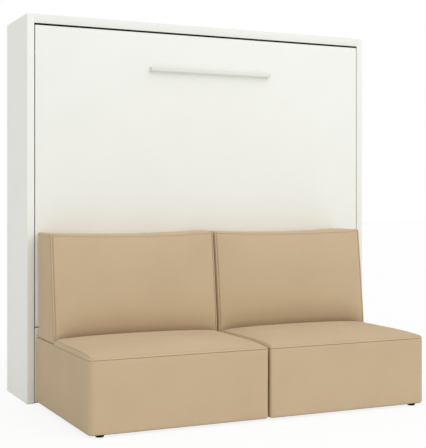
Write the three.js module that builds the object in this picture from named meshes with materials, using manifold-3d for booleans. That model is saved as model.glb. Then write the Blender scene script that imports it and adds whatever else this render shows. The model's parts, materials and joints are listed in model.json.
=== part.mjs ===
// Wall bed with sofa.
// A cabinet holds a sideways double bed that swings down over the seats of a two-module sofa.
// Sizes are millimetres: X runs to the right, Y to the back and Z up.
import * as THREE from "three";
import Module from "manifold-3d";
import { mergeVertices } from "three/addons/utils/BufferGeometryUtils.js";

// Fits shared by all pieces
const seatGap = 0.3;
const slideGap = 0.3;
const cutOverrun = 2;

// Cabinet
const cabinetWidth = 2180;
const cabinetHeight = 2150;
const cabinetDepth = 450;
const sideThickness = 40;
const topThickness = 50;
const floorThickness = 19;
const backThickness = 8;
const panelEdgeRadius = 2;
const wallRailHeight = 100;
const wallRailThickness = 18;
const wallRailInset = 60;

// Bed front, fixed lower front and handle
const frontThickness = 19;
const frontGap = 5;
const frontTopGap = 8;
const frontBottomHeight = 425;
const lowerFrontFloorGap = 8;
const lowerFrontClearance = 4;
const handleLength = 780;
const handleHeight = 27;
const handleThickness = 9;
const handleReach = 26;
const handlePostWidth = 22;
const handleDrop = 210;
const handleOffset = 25;
const handleEdgeRadius = 3;

// Bed frame, slats and mattress, which is 2000 long and 1600 wide in this cabinet
const hardwareRoom = 33.5;
const mattressThickness = 180;
const mattressFit = 1.5;
const mattressEdgeRadius = 34;
const mattressCrown = 8;
const mattressDrawIn = 5;
const frameInset = 2;
const railDepth = 80;
const sideRailThickness = 15;
const longRailThickness = 30;
const ledgeReach = 20;
const ledgeDepth = 41;
const beamWidth = 40;
const slatCount = 12;
const slatWidth = 68;
const slatThickness = 9;
const slatCamber = 8;
const slatEndGap = 3;
const slatMargin = 95;
const strapWidth = 40;
const strapThickness = 3;
const strapTab = 22;
const strapPlaceShare = 0.25;

// Pivot
const pivotDepth = 100;
const pivotRise = 97;
const pinRadius = 9;
const bushWall = 5;
const bushFlangeReach = 4;
const bushFlangeThickness = 1.5;
const plateSize = 110;
const plateThickness = 6;
const plateCornerRadius = 18;
const bossWall = 7;
const bossReach = 17;
const plateScrewRadius = 3;
const plateScrewInset = 15;
const bracketThickness = 6;
const bracketBossRadius = 26;
const bracketTabWidth = 56;
const bracketTabHeight = 190;
const bracketCornerRadius = 14;
const bracketScrewRadius = 3;
const bracketScrewInset = 18;

// Gas struts, with places measured from the pivot
const strutHeelBack = 30;
const strutHeelDrop = 150;
const strutAnchorBack = 190;
const strutAnchorRise = 600;
const strutBodyRadius = 11;
const strutBodyLength = 430;
const strutRodRadius = 5;
const strutNeckRadius = 5;
const strutEyeRadius = 10;
const strutEyeThickness = 10;
const strutSideGap = 3;
const strutStudRadius = 4;
const strutOpenGap = 0.5;
const strutFloorThickness = 12;
const mountPlateWidth = 44;
const mountPlateHeight = 90;
const mountPlateThickness = 3;
const heelRadius = 15;

// Closed stops on the side panels
const stopHeight = 60;
const stopDepth = 32;
const stopInsetFromTop = 150;
const stopOverlap = 11;

// Sofa modules
const sofaReach = 930;
const sofaStart = 48;
const moduleWidth = 955;
const moduleGap = 12;
const baseBottomHeight = 12;
const seamHeight = 367;
const baseCornerRadius = 26;
const seatCrown = 40;
const seatEdgeHeight = 4;
const seatSidePowerShare = 0.25;
const seatFrontPowerShare = 0.6;
const seatFrontFlatness = 4;
const seatRearGap = 2;
const backBottomDepth = 335;
const backTopDepth = 270;
const backTopHeight = 947;
const backCrown = 22;
const backDrawIn = 3;
const backFlare = 4;
const backTopDip = 7;
const backTopDipFlatness = 8;
const backEdgeRadius = 22;
const backSideGap = 1.5;
const backCushionGap = 1;
const gliderRadius = 22;
const gliderFootRadius = 19;
const gliderSideInset = 64;
const gliderFrontInset = 34;
const gliderInnerInset = 100;
const gliderRearInset = 60;

// Facets
const roundSides = 32;
const smallRoundSides = 20;
const arcSteps = 6;
const camberSteps = 10;

// Values that follow from the sizes above
const innerWidth = cabinetWidth - sideThickness - sideThickness;
const frontWidth = innerWidth - frontGap - frontGap;
const frontTopHeight = cabinetHeight - topThickness - frontTopGap;
const pivotHeight = frontBottomHeight + pivotRise;
const frameBottomHeight = frontBottomHeight + frameInset;
const frameOuterWidth = innerWidth - hardwareRoom - hardwareRoom;
const frameInnerWidth = frameOuterWidth - sideRailThickness - sideRailThickness;
const frameOuterHeight = frontTopHeight - frameInset - frameBottomHeight;
const frameInnerHeight = frameOuterHeight - longRailThickness - longRailThickness;
const mattressLength = frameInnerWidth - mattressFit - mattressFit;
const mattressWidth = frameInnerHeight - mattressFit - mattressFit;
const railFront = frontThickness + seatGap;
const railBack = railFront + railDepth;
const slatFront = railFront + ledgeDepth + seatGap;
const mattressFront = slatFront + slatThickness + slatCamber + seatGap;
const mattressBack = mattressFront + mattressThickness;
const bossRadius = pinRadius + slideGap + bushWall + seatGap + bossWall;
const bushRadius = pinRadius + slideGap + bushWall;
const bracketFace = frameOuterWidth / 2 + seatGap;
const bracketOuter = bracketFace + bracketThickness;
const strutPlane = bracketOuter + strutSideGap / 2 + strutBodyRadius - slideGap;
const frontPlane = (sofaReach - cabinetDepth) / 2;
const moduleDepth = sofaReach - seatGap;

const lacquer = { color: "#f0f1ec", roughness: 0.45, metalness: 0 };
const lacquerShade = { color: "#e6e7e1", roughness: 0.4, metalness: 0 };
const board = { color: "#e9e8e2", roughness: 0.6, metalness: 0 };
const steel = { color: "#8d9094", roughness: 0.4, metalness: 0.9 };
const paintedSteel = { color: "#3a3c3f", roughness: 0.5, metalness: 0.4 };
const polishedSteel = { color: "#c9ccd0", roughness: 0.15, metalness: 1 };
const bushNylon = { color: "#e4e0d2", roughness: 0.5, metalness: 0 };
const beech = { color: "#cfa873", roughness: 0.6, metalness: 0 };
const ticking = { color: "#ece9e1", roughness: 0.9, metalness: 0 };
const webbing = { color: "#4b4d52", roughness: 0.85, metalness: 0 };
const beigeFabric = { color: "#c5af90", roughness: 0.9, metalness: 0 };
const blackPlastic = { color: "#1c1b1a", roughness: 0.5, metalness: 0 };

const wasm = await Module();
wasm.setup();

/** Gives a geometry's shared vertices as a solid that can be cut and joined. */
function solidOf(geometry) {
  const bare = geometry.clone();
  bare.deleteAttribute("normal");
  bare.deleteAttribute("uv");
  const merged = mergeVertices(bare);
  return new wasm.Manifold(
    new wasm.Mesh({
      numProp: 3,
      vertProperties: new Float32Array(merged.attributes.position.array),
      triVerts: new Uint32Array(merged.index.array),
    })
  );
}

/** Turns a solid back into a geometry. */
function geometryOf(solid) {
  const mesh = solid.getMesh();
  const geometry = new THREE.BufferGeometry();
  geometry.setAttribute("position", new THREE.BufferAttribute(mesh.vertProperties, 3));
  geometry.setIndex(new THREE.BufferAttribute(mesh.triVerts, 1));
  geometry.computeVertexNormals();
  return geometry;
}

/** Joins geometries and takes others away. */
function carve(parts, cuts = []) {
  let solid = parts.map(solidOf).reduce((whole, next) => whole.add(next));
  for (const cut of cuts) {
    solid = solid.subtract(solidOf(cut));
  }
  return geometryOf(solid);
}

/** A named mesh with its own material. */
function piece(name, geometry, finish) {
  const mesh = new THREE.Mesh(geometry, new THREE.MeshStandardMaterial(finish));
  mesh.name = name;
  return mesh;
}

/** A box between two ends on each axis. */
function box([x0, x1], [y0, y1], [z0, z1]) {
  const geometry = new THREE.BoxGeometry(x1 - x0, y1 - y0, z1 - z0);
  return geometry.translate((x0 + x1) / 2, (y0 + y1) / 2, (z0 + z1) / 2);
}

/** An outline in Y and Z, extruded along X. */
function extrudeAlongX(shape, x0, x1) {
  const geometry = new THREE.ExtrudeGeometry(shape, {
    depth: x1 - x0,
    bevelEnabled: false,
    curveSegments: arcSteps,
  });
  const turn = new THREE.Matrix4().makeBasis(
    new THREE.Vector3(0, 1, 0),
    new THREE.Vector3(0, 0, 1),
    new THREE.Vector3(1, 0, 0)
  );
  return geometry.applyMatrix4(turn).translate(x0, 0, 0);
}

/** An outline in X and Y, extruded upwards. */
function extrudeUp(shape, z0, z1) {
  const geometry = new THREE.ExtrudeGeometry(shape, {
    depth: z1 - z0,
    bevelEnabled: false,
    curveSegments: arcSteps,
  });
  return geometry.translate(0, 0, z0);
}

/** A round bar along X. */
function barAlongX(radius, x0, x1, y, z, sides = roundSides) {
  const geometry = new THREE.CylinderGeometry(radius, radius, Math.abs(x1 - x0), sides);
  return geometry.rotateZ(Math.PI / 2).translate((x0 + x1) / 2, y, z);
}

/** A rectangle with round corners, between two ends on each axis. */
function roundedRectangle([u0, u1], [v0, v1], radius) {
  const shape = new THREE.Shape();
  shape.moveTo(u0 + radius, v0);
  shape.absarc(u1 - radius, v0 + radius, radius, -Math.PI / 2, 0, false);
  shape.absarc(u1 - radius, v1 - radius, radius, 0, Math.PI / 2, false);
  shape.absarc(u0 + radius, v1 - radius, radius, Math.PI / 2, Math.PI, false);
  shape.absarc(u0 + radius, v0 + radius, radius, Math.PI, 1.5 * Math.PI, false);
  return shape;
}

/** The outline of a link: two circles joined by their common tangents. */
function linkOutline(from, fromRadius, to, toRadius) {
  const span = to.clone().sub(from);
  const aim = Math.atan2(span.y, span.x);
  const lean = Math.acos((fromRadius - toRadius) / span.length());
  const shape = new THREE.Shape();
  shape.absarc(from.x, from.y, fromRadius, aim + lean, aim - lean + 2 * Math.PI, false);
  shape.absarc(to.x, to.y, toRadius, aim - lean, aim + lean, false);
  return shape;
}

/** Rounds the edges of a box grid whose half sizes are given. */
function roundEdges(point, half, radius) {
  const core = new THREE.Vector3(
    THREE.MathUtils.clamp(point.x, radius - half.x, half.x - radius),
    THREE.MathUtils.clamp(point.y, radius - half.y, half.y - radius),
    THREE.MathUtils.clamp(point.z, radius - half.z, half.z - radius)
  );
  const out = point.clone().sub(core);
  const reach = Math.max(Math.abs(out.x), Math.abs(out.y), Math.abs(out.z));
  if (reach > 0) {
    out.setLength(reach);
  }
  return core.add(out);
}

/** A box grid whose lines gather towards the edges, ready to be shaped. */
function softGrid(half, divisions) {
  const geometry = new THREE.BoxGeometry(
    half.x + half.x,
    half.y + half.y,
    half.z + half.z,
    ...divisions
  );
  const gather = (value, limit) => limit * Math.sin((Math.PI / 2) * (value / limit));
  reshape(geometry, (point) => {
    point.set(gather(point.x, half.x), gather(point.y, half.y), gather(point.z, half.z));
    return point;
  });
  return geometry;
}

/** Moves each vertex of a geometry to where a function puts it. */
function reshape(geometry, place) {
  const position = geometry.attributes.position;
  const point = new THREE.Vector3();
  for (let i = 0; i < position.count; i += 1) {
    const moved = place(point.fromBufferAttribute(position, i));
    position.setXYZ(i, moved.x, moved.y, moved.z);
  }
  return geometry;
}

/** A shaped grid as one closed body. */
function closedBody(geometry) {
  geometry.deleteAttribute("normal");
  geometry.deleteAttribute("uv");
  const merged = mergeVertices(geometry);
  merged.computeVertexNormals();
  return merged;
}

/** The cabinet's sides, top, floor, back and wall rails. */
function cabinetPanels() {
  const group = new THREE.Group();
  const half = cabinetWidth / 2;
  const innerHalf = innerWidth / 2;
  const fitHalf = innerHalf - seatGap;
  const depthSpan = [0, cabinetDepth];
  const plan = roundedRectangle([0, sideThickness], depthSpan, panelEdgeRadius);
  const side = extrudeUp(plan, 0, cabinetHeight);
  const right = piece("side_panel_right", side, lacquer);
  right.position.x = innerHalf;
  const left = piece("side_panel_left", side.clone(), lacquer);
  left.position.x = -half;
  const topSpan = [cabinetHeight - topThickness, cabinetHeight];
  const topOutline = roundedRectangle(depthSpan, topSpan, panelEdgeRadius);
  const insideBack = cabinetDepth - backThickness - seatGap;
  const floorSpan = [railFront, insideBack];
  const top = piece("top_panel", extrudeAlongX(topOutline, -fitHalf, fitHalf), lacquer);
  const floor = piece(
    "floor_panel",
    box([-fitHalf, fitHalf], floorSpan, [0, floorThickness]),
    board
  );
  const back = piece(
    "back_panel",
    box(
      [-fitHalf, fitHalf],
      [cabinetDepth - backThickness, cabinetDepth],
      [lowerFrontFloorGap, topSpan[0] - seatGap]
    ),
    board
  );
  const wallRail = (name, z) =>
    piece(
      name,
      box([-fitHalf, fitHalf], [insideBack - wallRailThickness, insideBack], [z, z + wallRailHeight]),
      board
    );
  const upper = wallRail("wall_rail_upper", topSpan[0] - seatGap - wallRailHeight);
  const lower = wallRail("wall_rail_lower", floorThickness + wallRailInset);
  group.add(left, right, top, floor, back, upper, lower);
  return group;
}

/** The fixed lower front, whose top slopes back to let the bed front's edge swing by. */
function lowerFront() {
  const sweep = Math.hypot(pivotDepth, pivotHeight - frontBottomHeight) + lowerFrontClearance;
  const clearHeight = (depth) => pivotHeight - Math.sqrt(sweep ** 2 - (pivotDepth - depth) ** 2);
  const outline = new THREE.Shape();
  outline.moveTo(0, lowerFrontFloorGap);
  outline.lineTo(frontThickness, lowerFrontFloorGap);
  outline.lineTo(frontThickness, clearHeight(frontThickness));
  outline.lineTo(frontThickness / 2, clearHeight(frontThickness / 2));
  outline.lineTo(0, clearHeight(0));
  return piece("lower_front", extrudeAlongX(outline, -frontWidth / 2, frontWidth / 2), lacquer);
}

/** The bearing plates that carry the bed, each with a bush in its boss. */
function pivotPlates(side, sideName) {
  const group = new THREE.Group();
  group.position.set(0, pivotDepth, pivotHeight);
  const wall = innerWidth / 2 - seatGap;
  const face = wall - plateThickness;
  const halfPlate = plateSize / 2;
  const tip = face - bossReach;
  const outline = roundedRectangle([-halfPlate, halfPlate], [-halfPlate, halfPlate], plateCornerRadius);
  const screwReach = halfPlate - plateScrewInset;
  const screws = [-screwReach, screwReach].flatMap((y) =>
    [-screwReach, screwReach].map((z) =>
      barAlongX(plateScrewRadius, face - cutOverrun, wall + cutOverrun, y, z, smallRoundSides)
    )
  );
  const bore = barAlongX(bushRadius + seatGap, tip - cutOverrun, wall + cutOverrun, 0, 0);
  const plate = carve(
    [extrudeAlongX(outline, face, wall), barAlongX(bossRadius, tip, face + cutOverrun, 0, 0)],
    [bore, ...screws]
  );
  const flangeFace = tip - seatGap;
  const bush = carve(
    [
      barAlongX(bushRadius, flangeFace, wall, 0, 0),
      barAlongX(bushRadius + bushFlangeReach, flangeFace - bushFlangeThickness, flangeFace, 0, 0),
    ],
    [
      barAlongX(
        pinRadius + slideGap,
        flangeFace - bushFlangeThickness - cutOverrun,
        wall + cutOverrun,
        0,
        0
      ),
    ]
  );
  group.add(
    piece(`pivot_plate_${sideName}`, mirrored(plate, side), steel),
    piece(`pivot_bush_${sideName}`, mirrored(bush, side), bushNylon)
  );
  return group;
}

/** Mirrors a geometry in X where the side is -1, and keeps its faces outwards. */
function mirrored(geometry, side) {
  if (side > 0) {
    return geometry;
  }
  const flipped = geometry.index ? geometry.clone() : mergeVertices(geometry);
  flipped.scale(-1, 1, 1);
  const index = flipped.index.array;
  for (let i = 0; i < index.length; i += 3) {
    [index[i], index[i + 1]] = [index[i + 1], index[i]];
  }
  flipped.computeVertexNormals();
  return flipped;
}

/** The stud and its plate that a gas strut hangs on, screwed to the side panel. */
function strutMount(side, sideName) {
  const wall = innerWidth / 2 - seatGap;
  const face = wall - mountPlateThickness;
  const y = strutAnchorBack;
  const z = strutAnchorRise;
  const outline = roundedRectangle(
    [y - mountPlateWidth / 2, y + mountPlateWidth / 2],
    [z - mountPlateHeight / 2, z + mountPlateHeight / 2],
    plateCornerRadius
  );
  const tip = strutPlane - strutEyeThickness / 2 - seatGap;
  const shoulder = strutPlane + strutEyeThickness / 2 + seatGap;
  const cap = tip - bushFlangeThickness;
  const screwReach = mountPlateHeight / 2 - plateScrewInset;
  const screws = [z - screwReach, z + screwReach].map((screwZ) =>
    barAlongX(plateScrewRadius, face - cutOverrun, wall + cutOverrun, y, screwZ, smallRoundSides)
  );
  const geometry = carve(
    [
      extrudeAlongX(outline, face, wall),
      barAlongX(strutStudRadius + bushFlangeReach, shoulder, face + cutOverrun, y, z, smallRoundSides),
      barAlongX(strutStudRadius, tip - seatGap, shoulder + cutOverrun, y, z, smallRoundSides),
      barAlongX(strutStudRadius + bushFlangeThickness, cap, tip, y, z, smallRoundSides),
    ],
    screws
  );
  const mesh = piece(`strut_mount_${sideName}`, mirrored(geometry, side), steel);
  mesh.position.set(0, pivotDepth, pivotHeight);
  return mesh;
}

/** Where the strut's two ends lie when the bed is closed, in Y and Z from the pivot. */
const strutAnchor = new THREE.Vector2(strutAnchorBack, strutAnchorRise);
const strutHeel = new THREE.Vector2(strutHeelBack, -strutHeelDrop);

/** A gas strut: its cylinder hangs on the anchor stud and its rod ends beside the bed's heel stud. */
function gasStrut(side, sideName) {
  const span = strutHeel.clone().sub(strutAnchor);
  const length = span.length();
  const group = new THREE.Group();
  group.position.set(side * strutPlane, pivotDepth + strutAnchorBack, pivotHeight + strutAnchorRise);
  group.rotation.x = Math.atan2(span.y, span.x) + Math.PI / 2;
  const halfEye = strutEyeThickness / 2;
  const eyeAt = (z) => barAlongX(strutEyeRadius, -halfEye, halfEye, 0, z, smallRoundSides);
  const bar = (radius, z0, z1) =>
    new THREE.CylinderGeometry(radius, radius, z1 - z0, smallRoundSides)
      .rotateX(Math.PI / 2)
      .translate(0, 0, (z0 + z1) / 2);
  const neckEnd = -strutEyeRadius - cutOverrun - strutEyeRadius;
  const bodyEnd = neckEnd - strutBodyLength;
  const cylinder = carve(
    [eyeAt(0), bar(strutNeckRadius, neckEnd - cutOverrun, 0), bar(strutBodyRadius, bodyEnd, neckEnd)],
    [
      barAlongX(strutStudRadius + slideGap, -strutBodyRadius, strutBodyRadius, 0, 0, smallRoundSides),
      bar(strutRodRadius + slideGap, bodyEnd - cutOverrun, neckEnd - strutFloorThickness),
    ]
  );
  const stroke = strutStroke();
  const rodTop = neckEnd - strutFloorThickness - stroke - cutOverrun;
  const rodFoot = strutEyeRadius - cutOverrun - length;
  const rod = carve([eyeAt(-length), bar(strutRodRadius, rodFoot, rodTop)]);
  group.add(
    piece(`strut_cylinder_${sideName}`, cylinder, paintedSteel),
    piece(`strut_rod_${sideName}`, rod, polishedSteel)
  );
  return group;
}

/** How far the strut is pushed in when the bed has swung down. */
function strutStroke() {
  const lowered = new THREE.Vector2(strutHeelDrop, strutHeelBack);
  return strutAnchor.distanceTo(strutHeel) - strutAnchor.distanceTo(lowered);
}

/** Blocks on the side panels that the closed bed frame leans against. */
function closedStop(side, sideName) {
  const wall = innerWidth / 2 - seatGap;
  const top = frontTopHeight - stopInsetFromTop;
  const inner = frameOuterWidth / 2 - stopOverlap;
  const geometry = box(
    [inner, wall],
    [railBack + seatGap, railBack + seatGap + stopDepth],
    [top - stopHeight, top]
  );
  return piece(`closed_stop_${sideName}`, mirrored(geometry, side), blackPlastic);
}

/** The large front panel that the bed carries. */
function bedFront() {
  const span = [frontBottomHeight - pivotHeight, frontTopHeight - pivotHeight];
  const outline = roundedRectangle([-pivotDepth, frontThickness - pivotDepth], span, panelEdgeRadius);
  return piece("bed_front", extrudeAlongX(outline, -frontWidth / 2, frontWidth / 2), lacquer);
}

/** The bar handle, a flat bar on two end posts. */
function handle() {
  const back = -pivotDepth - seatGap;
  const front = back - handleReach;
  const z = frontTopHeight - handleDrop - pivotHeight;
  const zSpan = [z - handleHeight / 2, z + handleHeight / 2];
  const x0 = handleOffset - handleLength / 2;
  const x1 = handleOffset + handleLength / 2;
  const barOutline = roundedRectangle([front, front + handleThickness], zSpan, handleEdgeRadius);
  const post = (start) => box([start, start + handlePostWidth], [front + handleThickness / 2, back], zSpan);
  const geometry = carve([extrudeAlongX(barOutline, x0, x1), post(x0), post(x1 - handlePostWidth)]);
  return piece("handle", geometry, lacquerShade);
}

/** The four rails and the beam that carry the slats. */
function bedFrame() {
  const group = new THREE.Group();
  const halfOuter = frameOuterWidth / 2;
  const halfInner = frameInnerWidth / 2;
  const z0 = frameBottomHeight - pivotHeight;
  const z1 = z0 + frameOuterHeight;
  const y0 = railFront - pivotDepth;
  const y1 = railBack - pivotDepth;
  const sideRail = box([halfInner, halfOuter], [y0, y1], [z0, z1]);
  const beamBack = slatFront + slatCamber - seatGap - pivotDepth;
  const beamMiddle = (z0 + z1) / 2;
  const longSpan = [-halfInner + seatGap, halfInner - seatGap];
  const longRail = (edge, inward) => {
    const face = edge + inward * longRailThickness;
    const ledge = face + inward * ledgeReach;
    const outline = new THREE.Shape();
    outline.moveTo(y0, edge);
    outline.lineTo(y1, edge);
    outline.lineTo(y1, face);
    outline.lineTo(y0 + ledgeDepth, face);
    outline.lineTo(y0 + ledgeDepth, ledge);
    outline.lineTo(y0, ledge);
    return extrudeAlongX(outline, ...longSpan);
  };
  group.add(
    piece("frame_rail_left", mirrored(sideRail, -1), paintedSteel),
    piece("frame_rail_right", sideRail.clone(), paintedSteel),
    piece("frame_rail_head", longRail(z0, 1), paintedSteel),
    piece("frame_rail_foot", longRail(z1, -1), paintedSteel),
    piece(
      "centre_beam",
      box(longSpan, [y0, beamBack], [beamMiddle - beamWidth / 2, beamMiddle + beamWidth / 2]),
      paintedSteel
    )
  );
  return group;
}

/** One sprung slat, bowed towards the mattress, its ends on the long rails' ledges. */
function slat(index) {
  const z0 = frameBottomHeight + longRailThickness + slatEndGap - pivotHeight;
  const z1 = z0 + frameInnerHeight - slatEndGap - slatEndGap;
  const front = slatFront - pivotDepth;
  const run = z1 - z0;
  const radius = (run ** 2 / 4 + slatCamber ** 2) / (slatCamber + slatCamber);
  const bow = (z) => Math.sqrt(radius ** 2 - (z - run / 2) ** 2) - (radius - slatCamber);
  const outline = new THREE.Shape();
  outline.moveTo(front, z0);
  for (let i = 1; i <= camberSteps; i += 1) {
    const z = (run * i) / camberSteps;
    outline.lineTo(front + bow(z), z0 + z);
  }
  for (let i = camberSteps; i >= 0; i -= 1) {
    const z = (run * i) / camberSteps;
    outline.lineTo(front + slatThickness + bow(z), z0 + z);
  }
  const reach = frameInnerWidth / 2 - slatMargin;
  const centre = THREE.MathUtils.lerp(-reach, reach, index / (slatCount - 1));
  const geometry = extrudeAlongX(outline, centre - slatWidth / 2, centre + slatWidth / 2);
  return piece(`slat_${String(index + 1).padStart(2, "0")}`, geometry, beech);
}

/** The mattress, with round edges, a slight crown and sides drawn in between the corners. */
function mattress() {
  const half = new THREE.Vector3(mattressLength / 2, mattressThickness / 2, mattressWidth / 2);
  const geometry = softGrid(half, [14, 4, 12]);
  reshape(geometry, (point) => {
    const rounded = roundEdges(point, half, mattressEdgeRadius);
    const u = rounded.x / half.x;
    const v = rounded.y / half.y;
    const w = rounded.z / half.z;
    const middle = (1 - u ** 2) * (1 - w ** 2);
    rounded.y -= mattressCrown * Math.max(v, 0) * (1 - Math.sqrt(Math.max(middle, 0)));
    rounded.x -= mattressDrawIn * u * (1 - w ** 2) * (1 - v ** 2);
    rounded.z -= mattressDrawIn * w * (1 - u ** 2) * (1 - v ** 2);
    return rounded;
  });
  const mesh = piece("mattress", closedBody(geometry), ticking);
  const bottom = frameBottomHeight + longRailThickness + mattressFit;
  mesh.position.set(0, mattressFront + half.y - pivotDepth, bottom + half.z - pivotHeight);
  return mesh;
}

/** A strap across the mattress, with a tab on each long rail. */
function mattressStrap(sideName, x) {
  const inner = seatGap + seatGap;
  const z0 = frameBottomHeight + longRailThickness + mattressFit - inner - pivotHeight;
  const z1 = z0 + mattressWidth + inner + inner;
  const foot = railBack + seatGap - pivotDepth;
  const crest = mattressBack + inner - pivotDepth;
  const t = strapThickness;
  const outline = new THREE.Shape();
  outline.moveTo(foot, z0 - strapTab);
  outline.lineTo(foot + t, z0 - strapTab);
  outline.lineTo(foot + t, z0 - t);
  outline.lineTo(crest + t, z0 - t);
  outline.lineTo(crest + t, z1 + t);
  outline.lineTo(foot + t, z1 + t);
  outline.lineTo(foot + t, z1 + strapTab);
  outline.lineTo(foot, z1 + strapTab);
  outline.lineTo(foot, z1);
  outline.lineTo(crest, z1);
  outline.lineTo(crest, z0);
  outline.lineTo(foot, z0);
  const geometry = extrudeAlongX(outline, x - strapWidth / 2, x + strapWidth / 2);
  return piece(`mattress_strap_${sideName}`, geometry, webbing);
}

/** The bed's bearing bracket: a tab on the side rail, the pin, and a heel with the strut's stud. */
function pivotBracket(side, sideName) {
  const z0 = -bracketTabHeight / 2;
  const tabBack = railBack - pivotDepth;
  const tab = roundedRectangle(
    [tabBack - bracketTabWidth, tabBack],
    [z0, z0 + bracketTabHeight],
    bracketCornerRadius
  );
  const centre = new THREE.Vector2(0, 0);
  const tabMiddle = new THREE.Vector2(tabBack - bracketTabWidth / 2, 0);
  const plates = [
    tab,
    linkOutline(centre, bracketBossRadius, strutHeel, heelRadius),
    linkOutline(tabMiddle, bracketTabWidth / 2, centre, bracketBossRadius),
  ].map((outline) => extrudeAlongX(outline, bracketFace, bracketOuter));
  const pinEnd = innerWidth / 2 - seatGap - seatGap;
  const studEnd = strutPlane - strutEyeThickness / 2 - strutOpenGap;
  const screwY = tabBack - bracketTabWidth / 2;
  const screws = [z0 + bracketScrewInset, z0 + bracketTabHeight - bracketScrewInset].map((z) =>
    barAlongX(
      bracketScrewRadius,
      bracketFace - cutOverrun,
      bracketOuter + cutOverrun,
      screwY,
      z,
      smallRoundSides
    )
  );
  const inside = bracketOuter - cutOverrun;
  const geometry = carve(
    [
      ...plates,
      barAlongX(pinRadius, inside, pinEnd, 0, 0),
      barAlongX(strutStudRadius, inside, studEnd, strutHeel.x, strutHeel.y, smallRoundSides),
    ],
    screws
  );
  return piece(`pivot_bracket_${sideName}`, mirrored(geometry, side), steel);
}

/** Everything that swings down with the bed. */
function bed() {
  const group = new THREE.Group();
  group.position.set(0, pivotDepth, pivotHeight);
  group.add(bedFront(), handle(), bedFrame(), mattress());
  for (let index = 0; index < slatCount; index += 1) {
    group.add(slat(index));
  }
  const strapReach = mattressLength * strapPlaceShare;
  group.add(mattressStrap("left", -strapReach), mattressStrap("right", strapReach));
  group.add(pivotBracket(-1, "left"), pivotBracket(1, "right"));
  return group;
}

/** The block under a seat, an upholstered timber box with round front corners. */
function seatBase() {
  const r = baseCornerRadius;
  const half = moduleWidth / 2;
  const plan = new THREE.Shape();
  plan.moveTo(half, 0);
  plan.lineTo(-half, 0);
  plan.absarc(-half + r, -moduleDepth + r, r, Math.PI, 1.5 * Math.PI, false);
  plan.absarc(half - r, -moduleDepth + r, r, 1.5 * Math.PI, 2 * Math.PI, false);
  return extrudeUp(plan, baseBottomHeight, seamHeight);
}

/** The seat cushion: a crown over the seam, steep at the edges, ending at the back cushion. */
function seatCushion() {
  const halfX = moduleWidth / 2;
  const depth = sofaReach - backBottomDepth - seatRearGap;
  const half = new THREE.Vector3(halfX, depth / 2, 1);
  const geometry = softGrid(half, [20, 14, 1]);
  const bottom = seamHeight + seatGap;
  const domeHalf = moduleDepth / 2;
  return closedBody(
    reshape(geometry, (point) => {
      const back = (point.y + half.y) / 2;
      const y = -moduleDepth + back + back;
      const u = point.x / halfX;
      const v = (y + domeHalf) / domeHalf;
      const sideRise = Math.max(1 - u ** 2, 0) ** seatSidePowerShare;
      const frontRise = Math.max(1 - v ** seatFrontFlatness, 0) ** seatFrontPowerShare;
      const top = bottom + seatEdgeHeight + seatCrown * sideRise * frontRise;
      const corner = roundedCorner(point.x, y);
      return new THREE.Vector3(corner.x, corner.y, point.z > 0 ? top : bottom);
    })
  );
}

/** Draws a point of the seat's plan in to the round front corners. */
function roundedCorner(x, y) {
  const r = baseCornerRadius;
  const coreX = THREE.MathUtils.clamp(x, r - moduleWidth / 2, moduleWidth / 2 - r);
  const coreY = Math.max(y, r - moduleDepth);
  const out = new THREE.Vector2(x - coreX, y - coreY);
  const reach = Math.max(Math.abs(out.x), Math.abs(out.y));
  if (reach > 0) {
    out.setLength(reach);
  }
  return new THREE.Vector2(coreX + out.x, coreY + out.y);
}

/** The back cushion: upright behind, leaning and crowned in front, wider and dipped at its top. */
function backCushion() {
  const bottom = seamHeight + seatGap;
  const height = backTopHeight - bottom;
  const meanDepth = (backBottomDepth + backTopDepth) / 2;
  const half = new THREE.Vector3(moduleWidth / 2 - backSideGap, meanDepth / 2, height / 2);
  const geometry = softGrid(half, [16, 6, 12]);
  return closedBody(
    reshape(geometry, (point) => {
      const rounded = roundEdges(point, half, backEdgeRadius);
      const u = rounded.x / half.x;
      const back = (half.y - rounded.y) / (half.y + half.y);
      const w = rounded.z / half.z;
      const up = (w + 1) / 2;
      const depth = THREE.MathUtils.lerp(backBottomDepth, backTopDepth, up) - backCushionGap;
      const crown = backCrown * (1 - w ** 2) * Math.sqrt(Math.max(1 - u ** 2, 0)) * back;
      const drawIn = backDrawIn * (1 - w ** 2) * (4 * back * (1 - back));
      const x = rounded.x + u * (backFlare * up - drawIn);
      const y = -backCushionGap - back * depth - crown;
      const dip = backTopDip * (1 - u ** 2) * up ** backTopDipFlatness;
      return new THREE.Vector3(x, y, bottom + half.z + rounded.z - dip);
    })
  );
}

/** A glide under a base: a disc that narrows to its foot. */
function glide() {
  const profile = [
    new THREE.Vector2(0, 0),
    new THREE.Vector2(gliderFootRadius, 0),
    new THREE.Vector2(gliderRadius, (baseBottomHeight - seatGap) / 2),
    new THREE.Vector2(gliderRadius, baseBottomHeight - seatGap),
    new THREE.Vector2(0, baseBottomHeight - seatGap),
  ];
  return closedBody(new THREE.LatheGeometry(profile, roundSides).rotateX(Math.PI / 2));
}

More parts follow.
